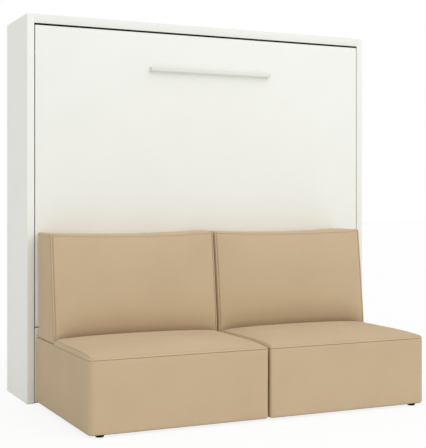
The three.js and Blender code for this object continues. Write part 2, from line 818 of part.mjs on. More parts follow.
/** One sofa module: base, seat cushion, back cushion and four glides. */
function sofaModule(sideName, leftEdge) {
  const group = new THREE.Group();
  group.position.x = leftEdge + moduleWidth / 2;
  const base = piece(`seat_base_${sideName}`, seatBase(), beigeFabric);
  base.position.y = -seatGap;
  const seat = piece(`seat_cushion_${sideName}`, seatCushion(), beigeFabric);
  seat.position.y = -seatGap;
  group.add(base, seat, piece(`back_cushion_${sideName}`, backCushion(), beigeFabric));
  const reachX = moduleWidth / 2 - gliderSideInset;
  const frontInset = (end) => (end === sideName ? gliderFrontInset : gliderInnerInset);
  const places = {
    front_left: [-reachX, frontInset("left") - sofaReach],
    front_right: [reachX, frontInset("right") - sofaReach],
    rear_left: [-reachX, -gliderRearInset],
    rear_right: [reachX, -gliderRearInset],
  };
  for (const [corner, [x, y]] of Object.entries(places)) {
    const foot = piece(`glide_${sideName}_${corner}`, glide(), blackPlastic);
    foot.position.set(x, y, 0);
    group.add(foot);
  }
  return group;
}

const object = new THREE.Group();
object.position.y = frontPlane;
object.add(cabinetPanels(), lowerFront(), bed());
for (const [side, sideName] of [
  [-1, "left"],
  [1, "right"],
]) {
  object.add(
    pivotPlates(side, sideName),
    strutMount(side, sideName),
    gasStrut(side, sideName),
    closedStop(side, sideName)
  );
}
const firstEdge = sofaStart - cabinetWidth / 2;
object.add(sofaModule("left", firstEdge));
object.add(sofaModule("right", firstEdge + moduleWidth + moduleGap));

export default object;
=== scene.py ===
"""Looks for the wall bed with sofa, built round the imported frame.

The frame is in metres: +X runs to the right, +Y to the wall and +Z up. Each sub-assembly is a
class that takes its places from the frame's nodes, and each finish is a small frozen class.
"""

import json
import logging
import math
from dataclasses import dataclass, field
from enum import Enum
from typing import Callable, Optional, Sequence

import bmesh
import bpy
from mathutils import Matrix, Vector
from mathutils.bvhtree import BVHTree

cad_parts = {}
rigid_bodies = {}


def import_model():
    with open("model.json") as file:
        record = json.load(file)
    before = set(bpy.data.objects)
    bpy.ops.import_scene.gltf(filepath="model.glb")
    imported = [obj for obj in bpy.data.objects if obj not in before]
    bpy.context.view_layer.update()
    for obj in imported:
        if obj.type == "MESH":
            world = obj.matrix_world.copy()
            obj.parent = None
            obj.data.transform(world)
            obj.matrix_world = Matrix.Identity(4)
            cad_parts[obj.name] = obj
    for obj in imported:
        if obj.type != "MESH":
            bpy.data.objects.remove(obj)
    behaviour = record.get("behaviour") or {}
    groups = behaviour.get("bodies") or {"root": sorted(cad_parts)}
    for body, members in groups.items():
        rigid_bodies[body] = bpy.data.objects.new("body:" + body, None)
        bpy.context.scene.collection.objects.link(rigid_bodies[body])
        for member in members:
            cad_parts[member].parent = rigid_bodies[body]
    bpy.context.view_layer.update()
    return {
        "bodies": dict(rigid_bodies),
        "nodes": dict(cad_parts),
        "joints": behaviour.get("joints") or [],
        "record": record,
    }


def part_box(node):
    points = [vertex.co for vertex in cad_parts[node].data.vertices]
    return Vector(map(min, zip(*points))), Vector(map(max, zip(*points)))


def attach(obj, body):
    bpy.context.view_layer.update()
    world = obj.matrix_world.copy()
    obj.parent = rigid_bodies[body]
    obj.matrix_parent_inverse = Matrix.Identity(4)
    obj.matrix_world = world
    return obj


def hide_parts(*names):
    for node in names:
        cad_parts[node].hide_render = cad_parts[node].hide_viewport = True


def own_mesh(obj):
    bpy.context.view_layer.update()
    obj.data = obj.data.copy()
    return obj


LOG = logging.getLogger("wall_bed")
MM = 0.001
CLOTH_UV = "cloth"
CABINET_BODY = "cabinet"
BED_BODY = "bed"
# Attribute that keeps how far a cover swells at each of its points
SWELLING = "swelling"
# How strongly a block's lines gather towards its edges
GATHER = 0.35
# Two places this close lie on one plane of a block
NEAR = 0.2 * MM
# Vertices of a CAD mesh this close are one
MERGE = 0.01 * MM
# A length under this counts as none
TINY = 1e-7
# Share of half a block's size from which on a point lies on the block's face
ON_FACE = 0.999
# A face whose normal's Z is under this looks down
LOOKS_DOWN = -0.9
# Facets of a CAD mesh that turn by less than this many degrees are shaded as one curve
FACET_DEGREES = 32.0
# An angle that leaves no edge of a soft piece sharp
ALL_SOFT_DEGREES = 180.0
# The values between which noise keeps mostly
NOISE_SPAN = (0.3, 0.7)
WHITE = (1, 1, 1, 1)
BLACK = (0, 0, 0, 1)

Tree = bpy.types.NodeTree
Socket = bpy.types.NodeSocket
Piece = bpy.types.Object
Shell = bmesh.types.BMesh
Plane = tuple[int, float]
Cells = tuple[int, int, int]
Move = Callable[[Vector], Vector]
Share = Callable[[Vector], float]


class Side(Enum):
    """Left or right, as seen from in front."""

    LEFT = "left"
    RIGHT = "right"


def linear(colour: str) -> tuple[float, float, float, float]:
    """Turns an sRGB colour into the linear values that a shader takes.

    Args:
        colour: A hex colour such as "#f0f1ec".

    Returns:
        Linear red, green, blue and an alpha of one.
    """
    channels = [int(colour[i : i + 2], 16) / 255 for i in (1, 3, 5)]
    curve = [c / 12.92 if c <= 0.04045 else ((c + 0.055) / 1.055) ** 2.4 for c in channels]
    return (curve[0], curve[1], curve[2], 1.0)


def add_node(
    tree: Tree, kind: str, settings: Optional[dict] = None, links: Optional[dict] = None
) -> bpy.types.Node:
    """Adds a shader node with its settings and links.

    Args:
        tree: The material's or world's node tree.
        kind: The node's type, such as "ShaderNodeTexNoise".
        settings: Values of its properties, and of its inputs by name or number.
        links: Output sockets of other nodes, by the name or number of the input they feed.

    Returns:
        The new node.
    """
    node = tree.nodes.new(kind)
    chosen = settings or {}
    for name, value in chosen.items():
        if isinstance(name, str) and name not in node.inputs:
            setattr(node, name, value)
    for name, value in chosen.items():
        if not isinstance(name, str) or name in node.inputs:
            node.inputs[name].default_value = value
    for name, socket in (links or {}).items():
        tree.links.new(socket, node.inputs[name])
    return node


def clear_tree(owner: bpy.types.ID) -> Tree:
    """Gives a material or a world an empty node tree.

    Args:
        owner: The material or the world.

    Returns:
        The tree.
    """
    owner.use_nodes = True
    owner.node_tree.nodes.clear()
    return owner.node_tree


@dataclass(frozen=True)
class Board:
    """A material's nodes while they are wired.

    Attributes:
        tree: The material's node tree.
        shader: Its principled shader.
        spot: The object coordinates, in metres.
    """

    tree: Tree
    shader: bpy.types.Node
    spot: Socket


@dataclass(frozen=True)
class Finish:
    """A surface finish: a principled shader whose colour, roughness and relief vary a little.

    Attributes:
        name: The material's name.
        slot: Name of the record's material slot for this finish; not used.
        colour: Its main colour, as sRGB hex.
        second_colour: What the colour drifts towards.
        roughness: Its mean roughness.
        roughness_drift: How far roughness strays to either side.
        metallic: One for bare metal.
        drift_mm: Size of the patches in which the colour and roughness drift.
        relief_mm: Width of the surface's small bumps.
        relief_height_mm: Height of those bumps.
        sheen: Strength of the soft rim light of a fibre surface.
        specular: Strength of the mirror-like share, half for a plain hard surface.
        ior: Index of refraction.
    """

    name: str
    slot: str
    colour: str
    second_colour: str
    roughness: float
    roughness_drift: float = 0.04
    metallic: float = 0.0
    drift_mm: float = 250.0
    relief_mm: float = 3.0
    relief_height_mm: float = 0.01
    sheen: float = 0.0
    specular: float = 0.5
    ior: float = 1.5

    def build(self) -> bpy.types.Material:
        """Makes the material, once.

        Returns:
            The material.
        """
        known = bpy.data.materials.get(self.name)
        if known is not None:
            return known
        material = bpy.data.materials.new(self.name)
        tree = clear_tree(material)
        shader = add_node(
            tree,
            "ShaderNodeBsdfPrincipled",
            {
                "Metallic": self.metallic,
                "IOR": self.ior,
                "Sheen Weight": self.sheen,
                "Specular IOR Level": self.specular,
            },
        )
        add_node(tree, "ShaderNodeOutputMaterial", links={"Surface": shader.outputs[0]})
        spot = add_node(tree, "ShaderNodeTexCoord").outputs["Object"]
        self.paint(Board(tree, shader, spot))
        return material

    def paint(self, board: Board) -> None:
        """Wires the finish's pattern, which lies on the object coordinates."""
        self.pattern(board, board.spot, drift_detail=3.0, relief_detail=2.0)

    def pattern(
        self, board: Board, spot: Socket, drift_detail: float, relief_detail: float
    ) -> None:
        """Links broad noise as drifting colour and roughness, and fine noise as relief.

        Args:
            board: The material's nodes.
            spot: The coordinates that the noise reads.
            drift_detail: How many finer layers the broad noise has.
            relief_detail: The same for the fine noise.
        """
        uses = (
            (self.drift_mm, drift_detail, self.tint),
            (self.relief_mm, relief_detail, self.emboss),
        )
        for size_mm, detail, link in uses:
            settings = {"Scale": 1 / (size_mm * MM), "Detail": detail}
            noise = add_node(board.tree, "ShaderNodeTexNoise", settings, {"Vector": spot})
            link(board, noise.outputs[0])

    def tint(self, board: Board, drift: Socket) -> None:
        """Links the colour and the roughness to a drifting value.

        Args:
            board: The material's nodes.
            drift: The value.
        """
        tree, shader = board.tree, board.shader
        ramp = add_node(tree, "ShaderNodeValToRGB", links={"Fac": drift})
        stops = zip(ramp.color_ramp.elements, NOISE_SPAN, (self.second_colour, self.colour))
        for stop, place, colour in stops:
            stop.position = place
            stop.color = linear(colour)
        tree.links.new(ramp.outputs[0], shader.inputs["Base Color"])
        smoothest = self.roughness - self.roughness_drift
        roughest = self.roughness + self.roughness_drift
        settings = {"To Min": smoothest, "To Max": roughest}
        rough = add_node(tree, "ShaderNodeMapRange", settings, {"Value": drift})
        tree.links.new(rough.outputs[0], shader.inputs["Roughness"])

    def emboss(self, board: Board, height: Socket) -> None:
        """Links a height from zero to one as the surface's relief.

        Args:
            board: The material's nodes.
            height: The height.
        """
        settings = {"Strength": 1.0, "Distance": self.relief_height_mm * MM}
        bump = add_node(board.tree, "ShaderNodeBump", settings, {"Height": height})
        board.tree.links.new(bump.outputs[0], board.shader.inputs["Normal"])


@dataclass(frozen=True)
class Grained(Finish):
    """A finish whose pattern is drawn out along one axis, such as wood grain or brush marks.

    Attributes:
        along: The axis of the grain, 0 for X, 1 for Y and 2 for Z.
        stretch: How many times longer than wide the grain is.
    """

    along: int = 2
    stretch: float = 18.0

    def paint(self, board: Board) -> None:
        """Links the colour and the relief to stretched noise.

        Args:
            board: The material's nodes.
        """
        scale = [1.0, 1.0, 1.0]
        scale[self.along] = 1 / self.stretch
        links = {"Vector": board.spot}
        drawn = add_node(board.tree, "ShaderNodeMapping", {"Scale": scale}, links)
        self.pattern(board, drawn.outputs[0], drift_detail=6.0, relief_detail=3.0)


@dataclass(frozen=True)
class Woven(Finish):
    """A plain weave: warp and weft threads that pass over and under each other.

    Attributes:
        thread_mm: Width of one thread as drawn.
        slub: How strongly single stretches of yarn differ in tone.
        streak_threads: How many threads wide such a stretch is.
        streak: Its width as a share of its length.
    """

    thread_mm: float = 1.6
    slub: float = 0.35
    streak_threads: float = 2.0
    streak: float = 0.06

    def paint(self, board: Board) -> None:
        """Links the yarn's tone, the threads' relief and the cloth's broad shade.

        Args:
            board: The material's nodes.
        """
        tree = board.tree
        flat = add_node(tree, "ShaderNodeUVMap", {"uv_map": CLOTH_UV}).outputs[0]
        pitch = 1 / (self.thread_mm * MM)
        thread = add_node(
            tree,
            "ShaderNodeVectorMath",
            {"operation": "MULTIPLY", 1: (pitch, pitch, 1.0)},
            {0: flat},
        )
        split = add_node(tree, "ShaderNodeSeparateXYZ", links={0: thread.outputs[0]})
        warp = self.rounded_thread(tree, split.outputs[0])
        weft = self.rounded_thread(tree, split.outputs[1])
        over = add_node(
            tree,
            "ShaderNodeTexChecker",
            {"Scale": 1.0, "Color1": WHITE, "Color2": BLACK},
            {"Vector": thread.outputs[0]},
        )
        height = add_node(tree, "ShaderNodeMix", links={0: over.outputs["Fac"], 2: warp, 3: weft})
        self.emboss(board, height.outputs[0])
        self.yarn_tone(board, flat, over.outputs["Fac"])

    def rounded_thread(self, tree: Tree, across: Socket) -> Socket:
        """Turns a count of threads into the round height of each thread.

        Args:
            tree: The material's node tree.
            across: The count of threads, across them.

        Returns:
            The thread's height, from zero to one.
        """
        turn = add_node(tree, "ShaderNodeMath", {"operation": "MULTIPLY", 1: math.pi}, {0: across})
        wave = add_node(tree, "ShaderNodeMath", {"operation": "SINE"}, {0: turn.outputs[0]})
        return add_node(
            tree, "ShaderNodeMath", {"operation": "ABSOLUTE"}, {0: wave.outputs[0]}
        ).outputs[0]

    def yarn_tone(self, board: Board, flat: Socket, over: Socket) -> None:
        """Mixes long streaks of warp and weft yarn over the cloth's broad drift of shade.

        Args:
            board: The material's nodes.
            flat: The cloth's own map, in metres.
            over: One where the warp lies on top, and zero elsewhere.
        """
        tree, streaks = board.tree, []
        width_mm = self.thread_mm * self.streak_threads
        fine = {"Scale": 1 / (width_mm * MM), "Detail": 1.0}
        for scale in ((1.0, self.streak, 1.0), (self.streak, 1.0, 1.0)):
            drawn = add_node(tree, "ShaderNodeMapping", {"Scale": scale}, {"Vector": flat})
            streak = add_node(tree, "ShaderNodeTexNoise", fine, {"Vector": drawn.outputs[0]})
            streaks.append(streak.outputs[0])
        yarn = add_node(tree, "ShaderNodeMix", links={0: over, 2: streaks[0], 3: streaks[1]})
        broad = {"Scale": 1 / (self.drift_mm * MM), "Detail": 3.0}
        drift = add_node(tree, "ShaderNodeTexNoise", broad, {"Vector": board.spot})
        links = {2: drift.outputs[0], 3: yarn.outputs[0]}
        self.tint(board, add_node(tree, "ShaderNodeMix", {0: self.slub}, links).outputs[0])


# Sprayed matt lacquer on board: an even warm white with a faint orange peel.
MATT_LACQUER = Finish(
    name="matt_white_lacquer",
    slot="lacquer",
    colour="#f3f4ee",
    second_colour="#f1f2ec",
    roughness=0.5,
    relief_mm=5.0,
    relief_height_mm=0.02,
)
# The same white on the handle's aluminium bar, a shade greyer and smoother.
HANDLE_LACQUER = Finish(
    name="satin_white_lacquer",
    slot="handle_lacquer",
    colour="#e9eae4",
    second_colour="#e6e7e1",
    roughness=0.38,
    relief_mm=4.0,
    relief_height_mm=0.01,
)
# Melamine-faced board: a fine pressed texture, duller than lacquer.
MELAMINE = Finish(
    name="white_melamine_board",
    slot="board",
    colour="#eeeee9",
    second_colour="#e9e9e3",
    roughness=0.55,
    relief_mm=1.2,
    relief_height_mm=0.03,
)
# Zinc-plated pressed steel: a bluish grey metal with cloudy patches.
ZINC_STEEL = Finish(
    name="zinc_plated_steel",
    slot="zinc_steel",
    colour="#b4b8bc",
    second_colour="#9a9ea3",
    roughness=0.36,
    roughness_drift=0.08,
    metallic=1.0,
    drift_mm=18.0,
    relief_mm=0.8,
    relief_height_mm=0.01,
)
# Powder coat on the frame: dark grey with a pebbled skin.
POWDER_COAT = Finish(
    name="dark_grey_powder_coat",
    slot="painted_steel",
    colour="#44474b",
    second_colour="#3c3f43",
    roughness=0.52,
    roughness_drift=0.05,
    relief_mm=0.9,
    relief_height_mm=0.05,
)
# Hard chrome on the piston rod: ground along its length and bright.
HARD_CHROME = Grained(
    name="hard_chrome",
    slot="polished_steel",
    colour="#d7dade",
    second_colour="#c8ccd1",
    roughness=0.14,
    roughness_drift=0.04,
    metallic=1.0,
    drift_mm=1.5,
    relief_mm=0.6,
    relief_height_mm=0.002,
)
# Natural nylon of the pivot bush: milky, slightly waxy.
NYLON = Finish(
    name="natural_nylon",
    slot="nylon",
    colour="#e8e3d3",
    second_colour="#ded8c6",
    roughness=0.42,
    roughness_drift=0.05,
    ior=1.53,
)
# Moulded beech ply of the slats: pale brown with short fine flecks along the slat.
BEECH = Grained(
    name="beech_ply",
    slot="beech",
    colour="#d9b27f",
    second_colour="#bd9160",
    roughness=0.5,
    roughness_drift=0.06,
    drift_mm=9.0,
    relief_mm=1.4,
    relief_height_mm=0.04,
)
# Mattress ticking: a white knitted stretch cloth, drawn coarser than its 0.8 mm yarn to show.
TICKING = Woven(
    name="white_mattress_ticking",
    slot="ticking",
    colour="#f1eee6",
    second_colour="#e7e3d9",
    roughness=0.85,
    roughness_drift=0.04,
    drift_mm=90.0,
    relief_height_mm=0.25,
    sheen=0.2,
    thread_mm=2.0,
)
# Straps: dark grey polyester webbing with heavy round threads.
WEBBING = Woven(
    name="grey_polyester_webbing",
    slot="webbing",
    colour="#5a5c61",
    second_colour="#47494e",
    roughness=0.72,
    roughness_drift=0.05,
    drift_mm=40.0,
    relief_height_mm=0.4,
    sheen=0.1,
    thread_mm=2.2,
)
# Upholstery: beige plain weave of 0.7 mm yarn, drawn at 1.6 mm so that it shows close up.
PLAIN_WEAVE = Woven(
    name="beige_plain_weave",
    slot="upholstery",
    colour="#ccb696",
    second_colour="#c4ae8e",
    roughness=0.88,
    roughness_drift=0.04,
    drift_mm=320.0,
    relief_height_mm=0.16,
    sheen=0.05,
    specular=0.2,
    thread_mm=1.6,
)
# Sewing thread of the seams: a shade darker than the cloth, with a slight gloss.
SEAM_THREAD = Finish(
    name="beige_seam_thread",
    slot="upholstery",
    colour="#8f7b5b",
    second_colour="#857152",
    roughness=0.55,
    roughness_drift=0.05,
    drift_mm=12.0,
    sheen=0.1,
)
# Spun dust cover stapled under each base: thin black non-woven.
DUST_COVER = Finish(
    name="black_dust_cover",
    slot="upholstery",
    colour="#26241f",
    second_colour="#1c1b18",
    roughness=0.9,
    roughness_drift=0.03,
    drift_mm=14.0,
    relief_mm=1.0,
    relief_height_mm=0.1,
)
# Glides and stops: black moulded polypropylene, dulled by a fine spark-eroded grain. The strip
# in the gap over the bed front wears the same black as painted shade that darkens the gap.
BLACK_PLASTIC_AND_PAINTED_SHADE = Finish(
    name="black_moulded_plastic_and_painted_shade",
    slot="black_plastic",
    colour="#1b1a19",
    second_colour="#151413",
    roughness=0.6,
    roughness_drift=0.06,
    relief_mm=0.9,
    relief_height_mm=0.03,
    specular=0.15,
)


def dress(node: Piece, finish: Finish) -> None:
    """Gives a piece one finish on all its faces.

    Args:
        node: The piece.
        finish: Its finish.
    """
    materials = node.data.materials
    materials.clear()
    materials.append(finish.build())
    LOG.info("%s: the CAD piece in %s", node.name, finish.name)


def as_mesh(name: str, shell: Shell) -> bpy.types.Mesh:
    """Turns a bmesh, which is freed, into a mesh.

    Args:
        name: The mesh's name.
        shell: The bmesh.

    Returns:
        The mesh.
    """
    mesh = bpy.data.meshes.new(name)
    shell.to_mesh(mesh)
    shell.free()
    return mesh


def add_object(name: str, data: bpy.types.ID) -> Piece:
    """Puts a mesh, a lamp or a camera in the scene.

    Args:
        name: The object's name.
        data: The mesh, lamp or camera.

    Returns:
        The object.
    """
    thing = bpy.data.objects.new(name, data)
    bpy.context.scene.collection.objects.link(thing)
    return thing


def make_piece(
    name: str, shell: Shell, finishes: Sequence[Finish], body: str, sharp_degrees: float = 40.0
) -> Piece:
    """Turns a bmesh into a piece that rides on a body.

    Args:
        name: The piece's name.
        shell: Its mesh in the frame's metres, which is freed.
        finishes: Its finishes, in the order of the faces' material numbers, its main one first.
        body: The body that it rides on.
        sharp_degrees: Edges that turn by more than this stay sharp.

    Returns:
        The new object.
    """
    mesh = as_mesh(name, shell)
    mesh.shade_smooth()
    mesh.set_sharp_from_angle(angle=math.radians(sharp_degrees))
    for finish in finishes:
        mesh.materials.append(finish.build())
    piece = add_object(name, mesh)
    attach(piece, body)
    LOG.info("%s: %d faces on %s", name, len(mesh.polygons), body)
    return piece


def soften(piece: Piece, levels: int = 1) -> None:
    """Adds subdivision, the same in the view and in the render.

    Args:
        piece: The piece.
        levels: How often its faces are split.
    """
    smooth = piece.modifiers.new("soft", "SUBSURF")
    smooth.levels = levels
    smooth.render_levels = levels


def box_shell(low: Vector, high: Vector, radius: float, segments: int = 3) -> Shell:
    """Makes a box with rounded edges.

    Args:
        low: Its lowest corner.
        high: Its highest corner.
        radius: Radius of its edges.
        segments: Facets round each edge.

    Returns:
        The box as a bmesh.
    """
    shell = bmesh.new()
    bmesh.ops.create_cube(shell, size=1.0)
    bmesh.ops.scale(shell, vec=high - low, verts=shell.verts)
    bmesh.ops.translate(shell, vec=(low + high) / 2, verts=shell.verts)
    bmesh.ops.bevel(
        shell,
        geom=list(shell.edges),
        offset=radius,
        offset_type="OFFSET",
        segments=segments,
        profile=0.5,
        affect="EDGES",
        clamp_overlap=True,
        material=-1,
    )
    return shell


def panel(
    node: str, body: str, radius_mm: float, side_trim_mm: float = 0.0, top_trim_mm: float = 0.0
) -> None:
    """Replaces a straight CAD panel by a lacquered one whose edges are all eased.

    Args:
        node: The CAD node.
        body: The body that it rides on.
        radius_mm: Radius of the eased edges.
        side_trim_mm: How far its side edges stay inside the node's.
        top_trim_mm: How far its top edge stays below the node's.
    """
    low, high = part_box(node)
    start = low + Vector((side_trim_mm * MM, 0, 0))
    end = high - Vector((side_trim_mm * MM, 0, top_trim_mm * MM))
    shell = box_shell(start, end, radius_mm * MM)
    piece = make_piece(f"{node}_lacquered", shell, [MATT_LACQUER], body)
    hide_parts(node)


def smooth_copy(frame: dict, node: str, finish: Finish, body: str, ending: str) -> None:
    """Replaces a turned or pressed CAD node by its own mesh, merged and smoothly shaded.

    Args:
        frame: The loaded frame.
        node: The CAD node.
        finish: The piece's finish.
        body: The body that it rides on.
        ending: What the new piece's name has after the node's.
    """
    shell = bmesh.new()
    shell.from_mesh(frame["nodes"][node].data)
    bmesh.ops.remove_doubles(shell, verts=shell.verts, dist=MERGE)
    for face in shell.faces:
        face.smooth = True
    lay_cloth(shell)
    piece = make_piece(f"{node}_{ending}", shell, [finish], body, FACET_DEGREES)
    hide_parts(node)


def lay_cloth(shell: Shell) -> None:
    """Lays a cloth map in metres on each face, along the face's own plane.

    Args:
        shell: The mesh, which gets the map.
    """
    shell.normal_update()
    layer = shell.loops.layers.uv.get(CLOTH_UV) or shell.loops.layers.uv.new(CLOTH_UV)
    for face in shell.faces:
        away = [abs(value) for value in face.normal]
        axis = away.index(max(away))
        across, up = [(1, 2), (0, 2), (0, 1)][axis]
        for loop in face.loops:
            place = loop.vert.co
            loop[layer].uv = (place[across], place[up])


def grid_block(half: Vector, cells: Cells) -> Shell:
    """Makes a block of quads whose lines gather towards its edges.

    Args:
        half: Half its size along each axis.
        cells: How many cells it has along each axis.

    Returns:
        The block, centred on the origin.
    """
    shell = bmesh.new()
    bmesh.ops.create_cube(shell, size=2.0)
    for axis, count in enumerate(cells):
        lengthwise = [
            edge
            for edge in shell.edges
            if abs(edge.verts[0].co[axis] - edge.verts[1].co[axis]) > 1.0
        ]
        if count > 1:
            bmesh.ops.subdivide_edges(shell, edges=lengthwise, cuts=count - 1)
    for vert in shell.verts:
        for axis in range(3):
            share = vert.co[axis]
            vert.co[axis] = half[axis] * share * (1 + GATHER - GATHER * share**2)
    return shell


def cut_line(shell: Shell, axis: int, place: float) -> None:
    """Cuts a mesh along a plane square to an axis, so that a seam has a line of its own.

    Args:
        shell: The mesh.
        axis: The axis, 0 for X, 1 for Y and 2 for Z.
        place: Where on the axis the plane lies.
    """
    direction = Vector((0, 0, 0))
    direction[axis] = 1.0
    bmesh.ops.bisect_plane(
        shell,
        geom=list(shell.verts) + list(shell.edges) + list(shell.faces),
        dist=NEAR,
        plane_co=direction * place,
        plane_no=direction,
    )


def turned(out: Vector) -> Vector:
    """Turns a step out to a square corner into one as far out to a round corner."""
    reach = max(abs(value) for value in out)
    return out.normalized() * reach if reach > 0 else out


def round_edges(
    point: Vector, half: Vector, radius: float, upright: Optional[float] = None
) -> Vector:
    """Rounds the edges and corners of a block.

    Args:
        point: A point on the block, which is centred on the origin.
        half: Half the block's size.
        radius: Radius of its level edges.
        upright: Radius of its upright edges, no smaller, or that of the level ones if not given.

    Returns:
        The point on the rounded block.
    """
    corner = radius if upright is None else upright
    core = Vector([max(min(point[i], half[i] - corner), corner - half[i]) for i in range(2)])
    out = Vector((point.x, point.y)) - core
    reach = max(abs(value) for value in out)
    inner = corner - radius
    side, up = reach - inner, abs(point.z) - (half.z - radius)
    if side > 0 and up > 0:
        side, up = turned(Vector((side, up)))
        reach = side + inner
    plan = core + (out.normalized() * reach if reach > 0 else out)
    height = half.z - radius + up if up > 0 else abs(point.z)
    return Vector((plan.x, plan.y, math.copysign(height, point.z)))


def press_in(shell: Shell, depths: list[float]) -> None:
    """Pushes each vertex in along its normal by its depth.

    Args:
        shell: The mesh.
        depths: Each vertex's depth.
    """
    shell.normal_update()
    moves = [vert.normal * -depth for vert, depth in zip(shell.verts, depths)]
    for vert, move in zip(shell.verts, moves):
        vert.co += move


def seam_share(distance: float, half_width: float) -> float:
    """How deep a seam is at a distance from its middle: one there and zero at its edges."""
    return max(0.0, 1.0 - abs(distance) / half_width)


def spaced(corners: list[Vector], steps: int = 60) -> list[Vector]:
    """Places points at equal steps along each run from one corner to the next.

    Args:
        corners: The corners.
        steps: How many steps each run has.

    Returns:
        The points, the corners among them.
    """
    points = [
        start.lerp(end, i / steps) for start, end in zip(corners, corners[1:]) for i in range(steps)
    ]
    return points + [corners[-1]]


@dataclass
class Stitching:
    """A row of stitches that lies on a soft piece.

    Attributes:
        length_mm: Length of one stitch.
        pitch_mm: Distance from one stitch to the next.
        thickness_mm: Thickness of the thread.
        lift: How far its middle lies over the cloth, as a share of its thickness.
    """

    length_mm: float = 5.5
    pitch_mm: float = 8.0
    thickness_mm: float = 1.1
    lift: float = 0.25

    def sew(self, name: str, piece: Piece, row: list[Vector]) -> Piece:
        """Lays stitches along a row of points on a piece's final surface.

        Args:
            name: The new piece's name.
            piece: The soft piece.
            row: The row's points, in order.

        Returns:
            The stitches as one object.
        """
        graph = bpy.context.evaluated_depsgraph_get()
        surface = BVHTree.FromObject(piece, graph)
        thread = bmesh.new()
        for here, ahead in self.spread(row):
            self.add_stitch(thread, surface, here, ahead)
        return make_piece(name, thread, [SEAM_THREAD], CABINET_BODY)

    def spread(self, row: list[Vector]) -> list[tuple[Vector, Vector]]:
        """Places stitches at equal steps along a row.

        Args:
            row: The row's points, in order.

        Returns:
            Each stitch's middle and direction.
        """
        places = []
        wait = self.pitch_mm * MM / 2
        for start, end in zip(row, row[1:]):
            run = end - start
            length = run.length
            if length < TINY:
                continue
            while wait <= length:
                places.append((start + run * (wait / length), run / length))
                wait += self.pitch_mm * MM
            wait -= length
        return places

    def add_stitch(self, thread: Shell, surface: BVHTree, here: Vector, ahead: Vector) -> None:
        """Adds one stitch, a spindle half sunk in the cloth.

        Args:
            thread: The mesh that gets the stitch.
            surface: The piece on which it lies.
            here: Its middle, near that surface.
            ahead: The row's direction.
        """
        spot, normal, _, _ = surface.find_nearest(here)
        if spot is None:
            return
        across = normal.cross(ahead)
        if across.length < TINY:
            return
        across.normalize()
        along = across.cross(normal)
        frame = Matrix.Identity(4)
        for column, axis in enumerate((along, across, normal)):
            for row in range(3):
                frame[row][column] = axis[row]
        frame.translation = spot + normal * (self.lift * self.thickness_mm * MM)
        length, thickness = self.length_mm * MM / 2, self.thickness_mm * MM / 2
        size = Matrix.Diagonal((length, thickness, thickness, 1.0))
        bmesh.ops.create_icosphere(thread, subdivisions=1, radius=1.0, matrix=frame @ size)


@dataclass
class Cabinet:
    """The cabinet: panels, wall rails, closed stops, the fixed lower front and a black strip of
    painted shade in the gap over the bed front.

    Attributes:
        frame: The loaded frame.
        edge_mm: Radius of the panels' eased edges.
        shade_strip_mm: Thickness of the black strip over the bed front's upper edge.
        shade_strip_inset_mm: How far that strip lies behind the cabinet's front.
        shade_strip_edge_mm: Radius of its edges.
        stop_edge_mm: Radius of the closed stops' edges.
    """

    frame: dict
    edge_mm: float = 0.7
    shade_strip_mm: float = 7.0
    shade_strip_inset_mm: float = 0.5
    shade_strip_edge_mm: float = 1.0
    stop_edge_mm: float = 4.0

    def build(self) -> None:
        """Replaces the lacquered panels and dresses the other pieces."""
        self.paint_gap_shade()
        for node in ("side_panel_left", "side_panel_right", "top_panel"):
            panel(node, CABINET_BODY, self.edge_mm)
        dress(self.frame["nodes"]["lower_front"], MATT_LACQUER)
        for node in ("floor_panel", "back_panel", "wall_rail_upper", "wall_rail_lower"):
            dress(self.frame["nodes"][node], MELAMINE)
        for side in Side:
            self.stop(side)

    def paint_gap_shade(self) -> None:
        """Lays a black strip under the top panel as painted shade, which darkens the gap over the
        bed front.
        """
        low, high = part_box("top_panel")
        _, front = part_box("bed_front")
        depth = front.y - low.y - self.shade_strip_inset_mm * MM
        start = Vector((low.x, low.y + self.shade_strip_inset_mm * MM, low.z - self.shade_strip_mm * MM))
        end = Vector((high.x, start.y + depth, low.z))
        shell = box_shell(start, end, self.shade_strip_edge_mm * MM, segments=2)
        # The black strip is painted shade: it darkens the gap over the bed front, where only shadow
        # falls.
        make_piece("top_gap_painted_shade_strip", shell, [BLACK_PLASTIC_AND_PAINTED_SHADE], CABINET_BODY)

    def stop(self, side: Side) -> None:
        """Replaces a closed stop by a moulded block with soft edges.

        Args:
            side: The side on which it stands.
        """
        node = f"closed_stop_{side.value}"
        low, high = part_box(node)
        shell = box_shell(low, high, self.stop_edge_mm * MM, segments=4)
        piece = make_piece(f"{node}_moulded", shell, [BLACK_PLASTIC_AND_PAINTED_SHADE], CABINET_BODY)
        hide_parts(node)


@dataclass
class Hardware:
    """The bearings and gas struts on both sides of the bed.

    Attributes:
        frame: The loaded frame.
        pieces: Node stem, finish and body stem of each piece.
    """

    frame: dict
    pieces: tuple[tuple[str, Finish, str], ...] = (
        ("pivot_plate", ZINC_STEEL, CABINET_BODY),
        ("pivot_bush", NYLON, CABINET_BODY),
        ("strut_mount", ZINC_STEEL, CABINET_BODY),
        ("pivot_bracket", ZINC_STEEL, BED_BODY),
        ("strut_cylinder", POWDER_COAT, "strut_cylinder"),
        ("strut_rod", HARD_CHROME, "strut_rod"),
    )

    def build(self) -> None:
        """Replaces each node by a smoothly shaded copy of itself."""
        for side in Side:
            for stem, finish, body in self.pieces:
                node = f"{stem}_{side.value}"
                rides = f"{body}_{side.value}" if body.startswith("strut") else body
                smooth_copy(self.frame, node, finish, rides, "finished")


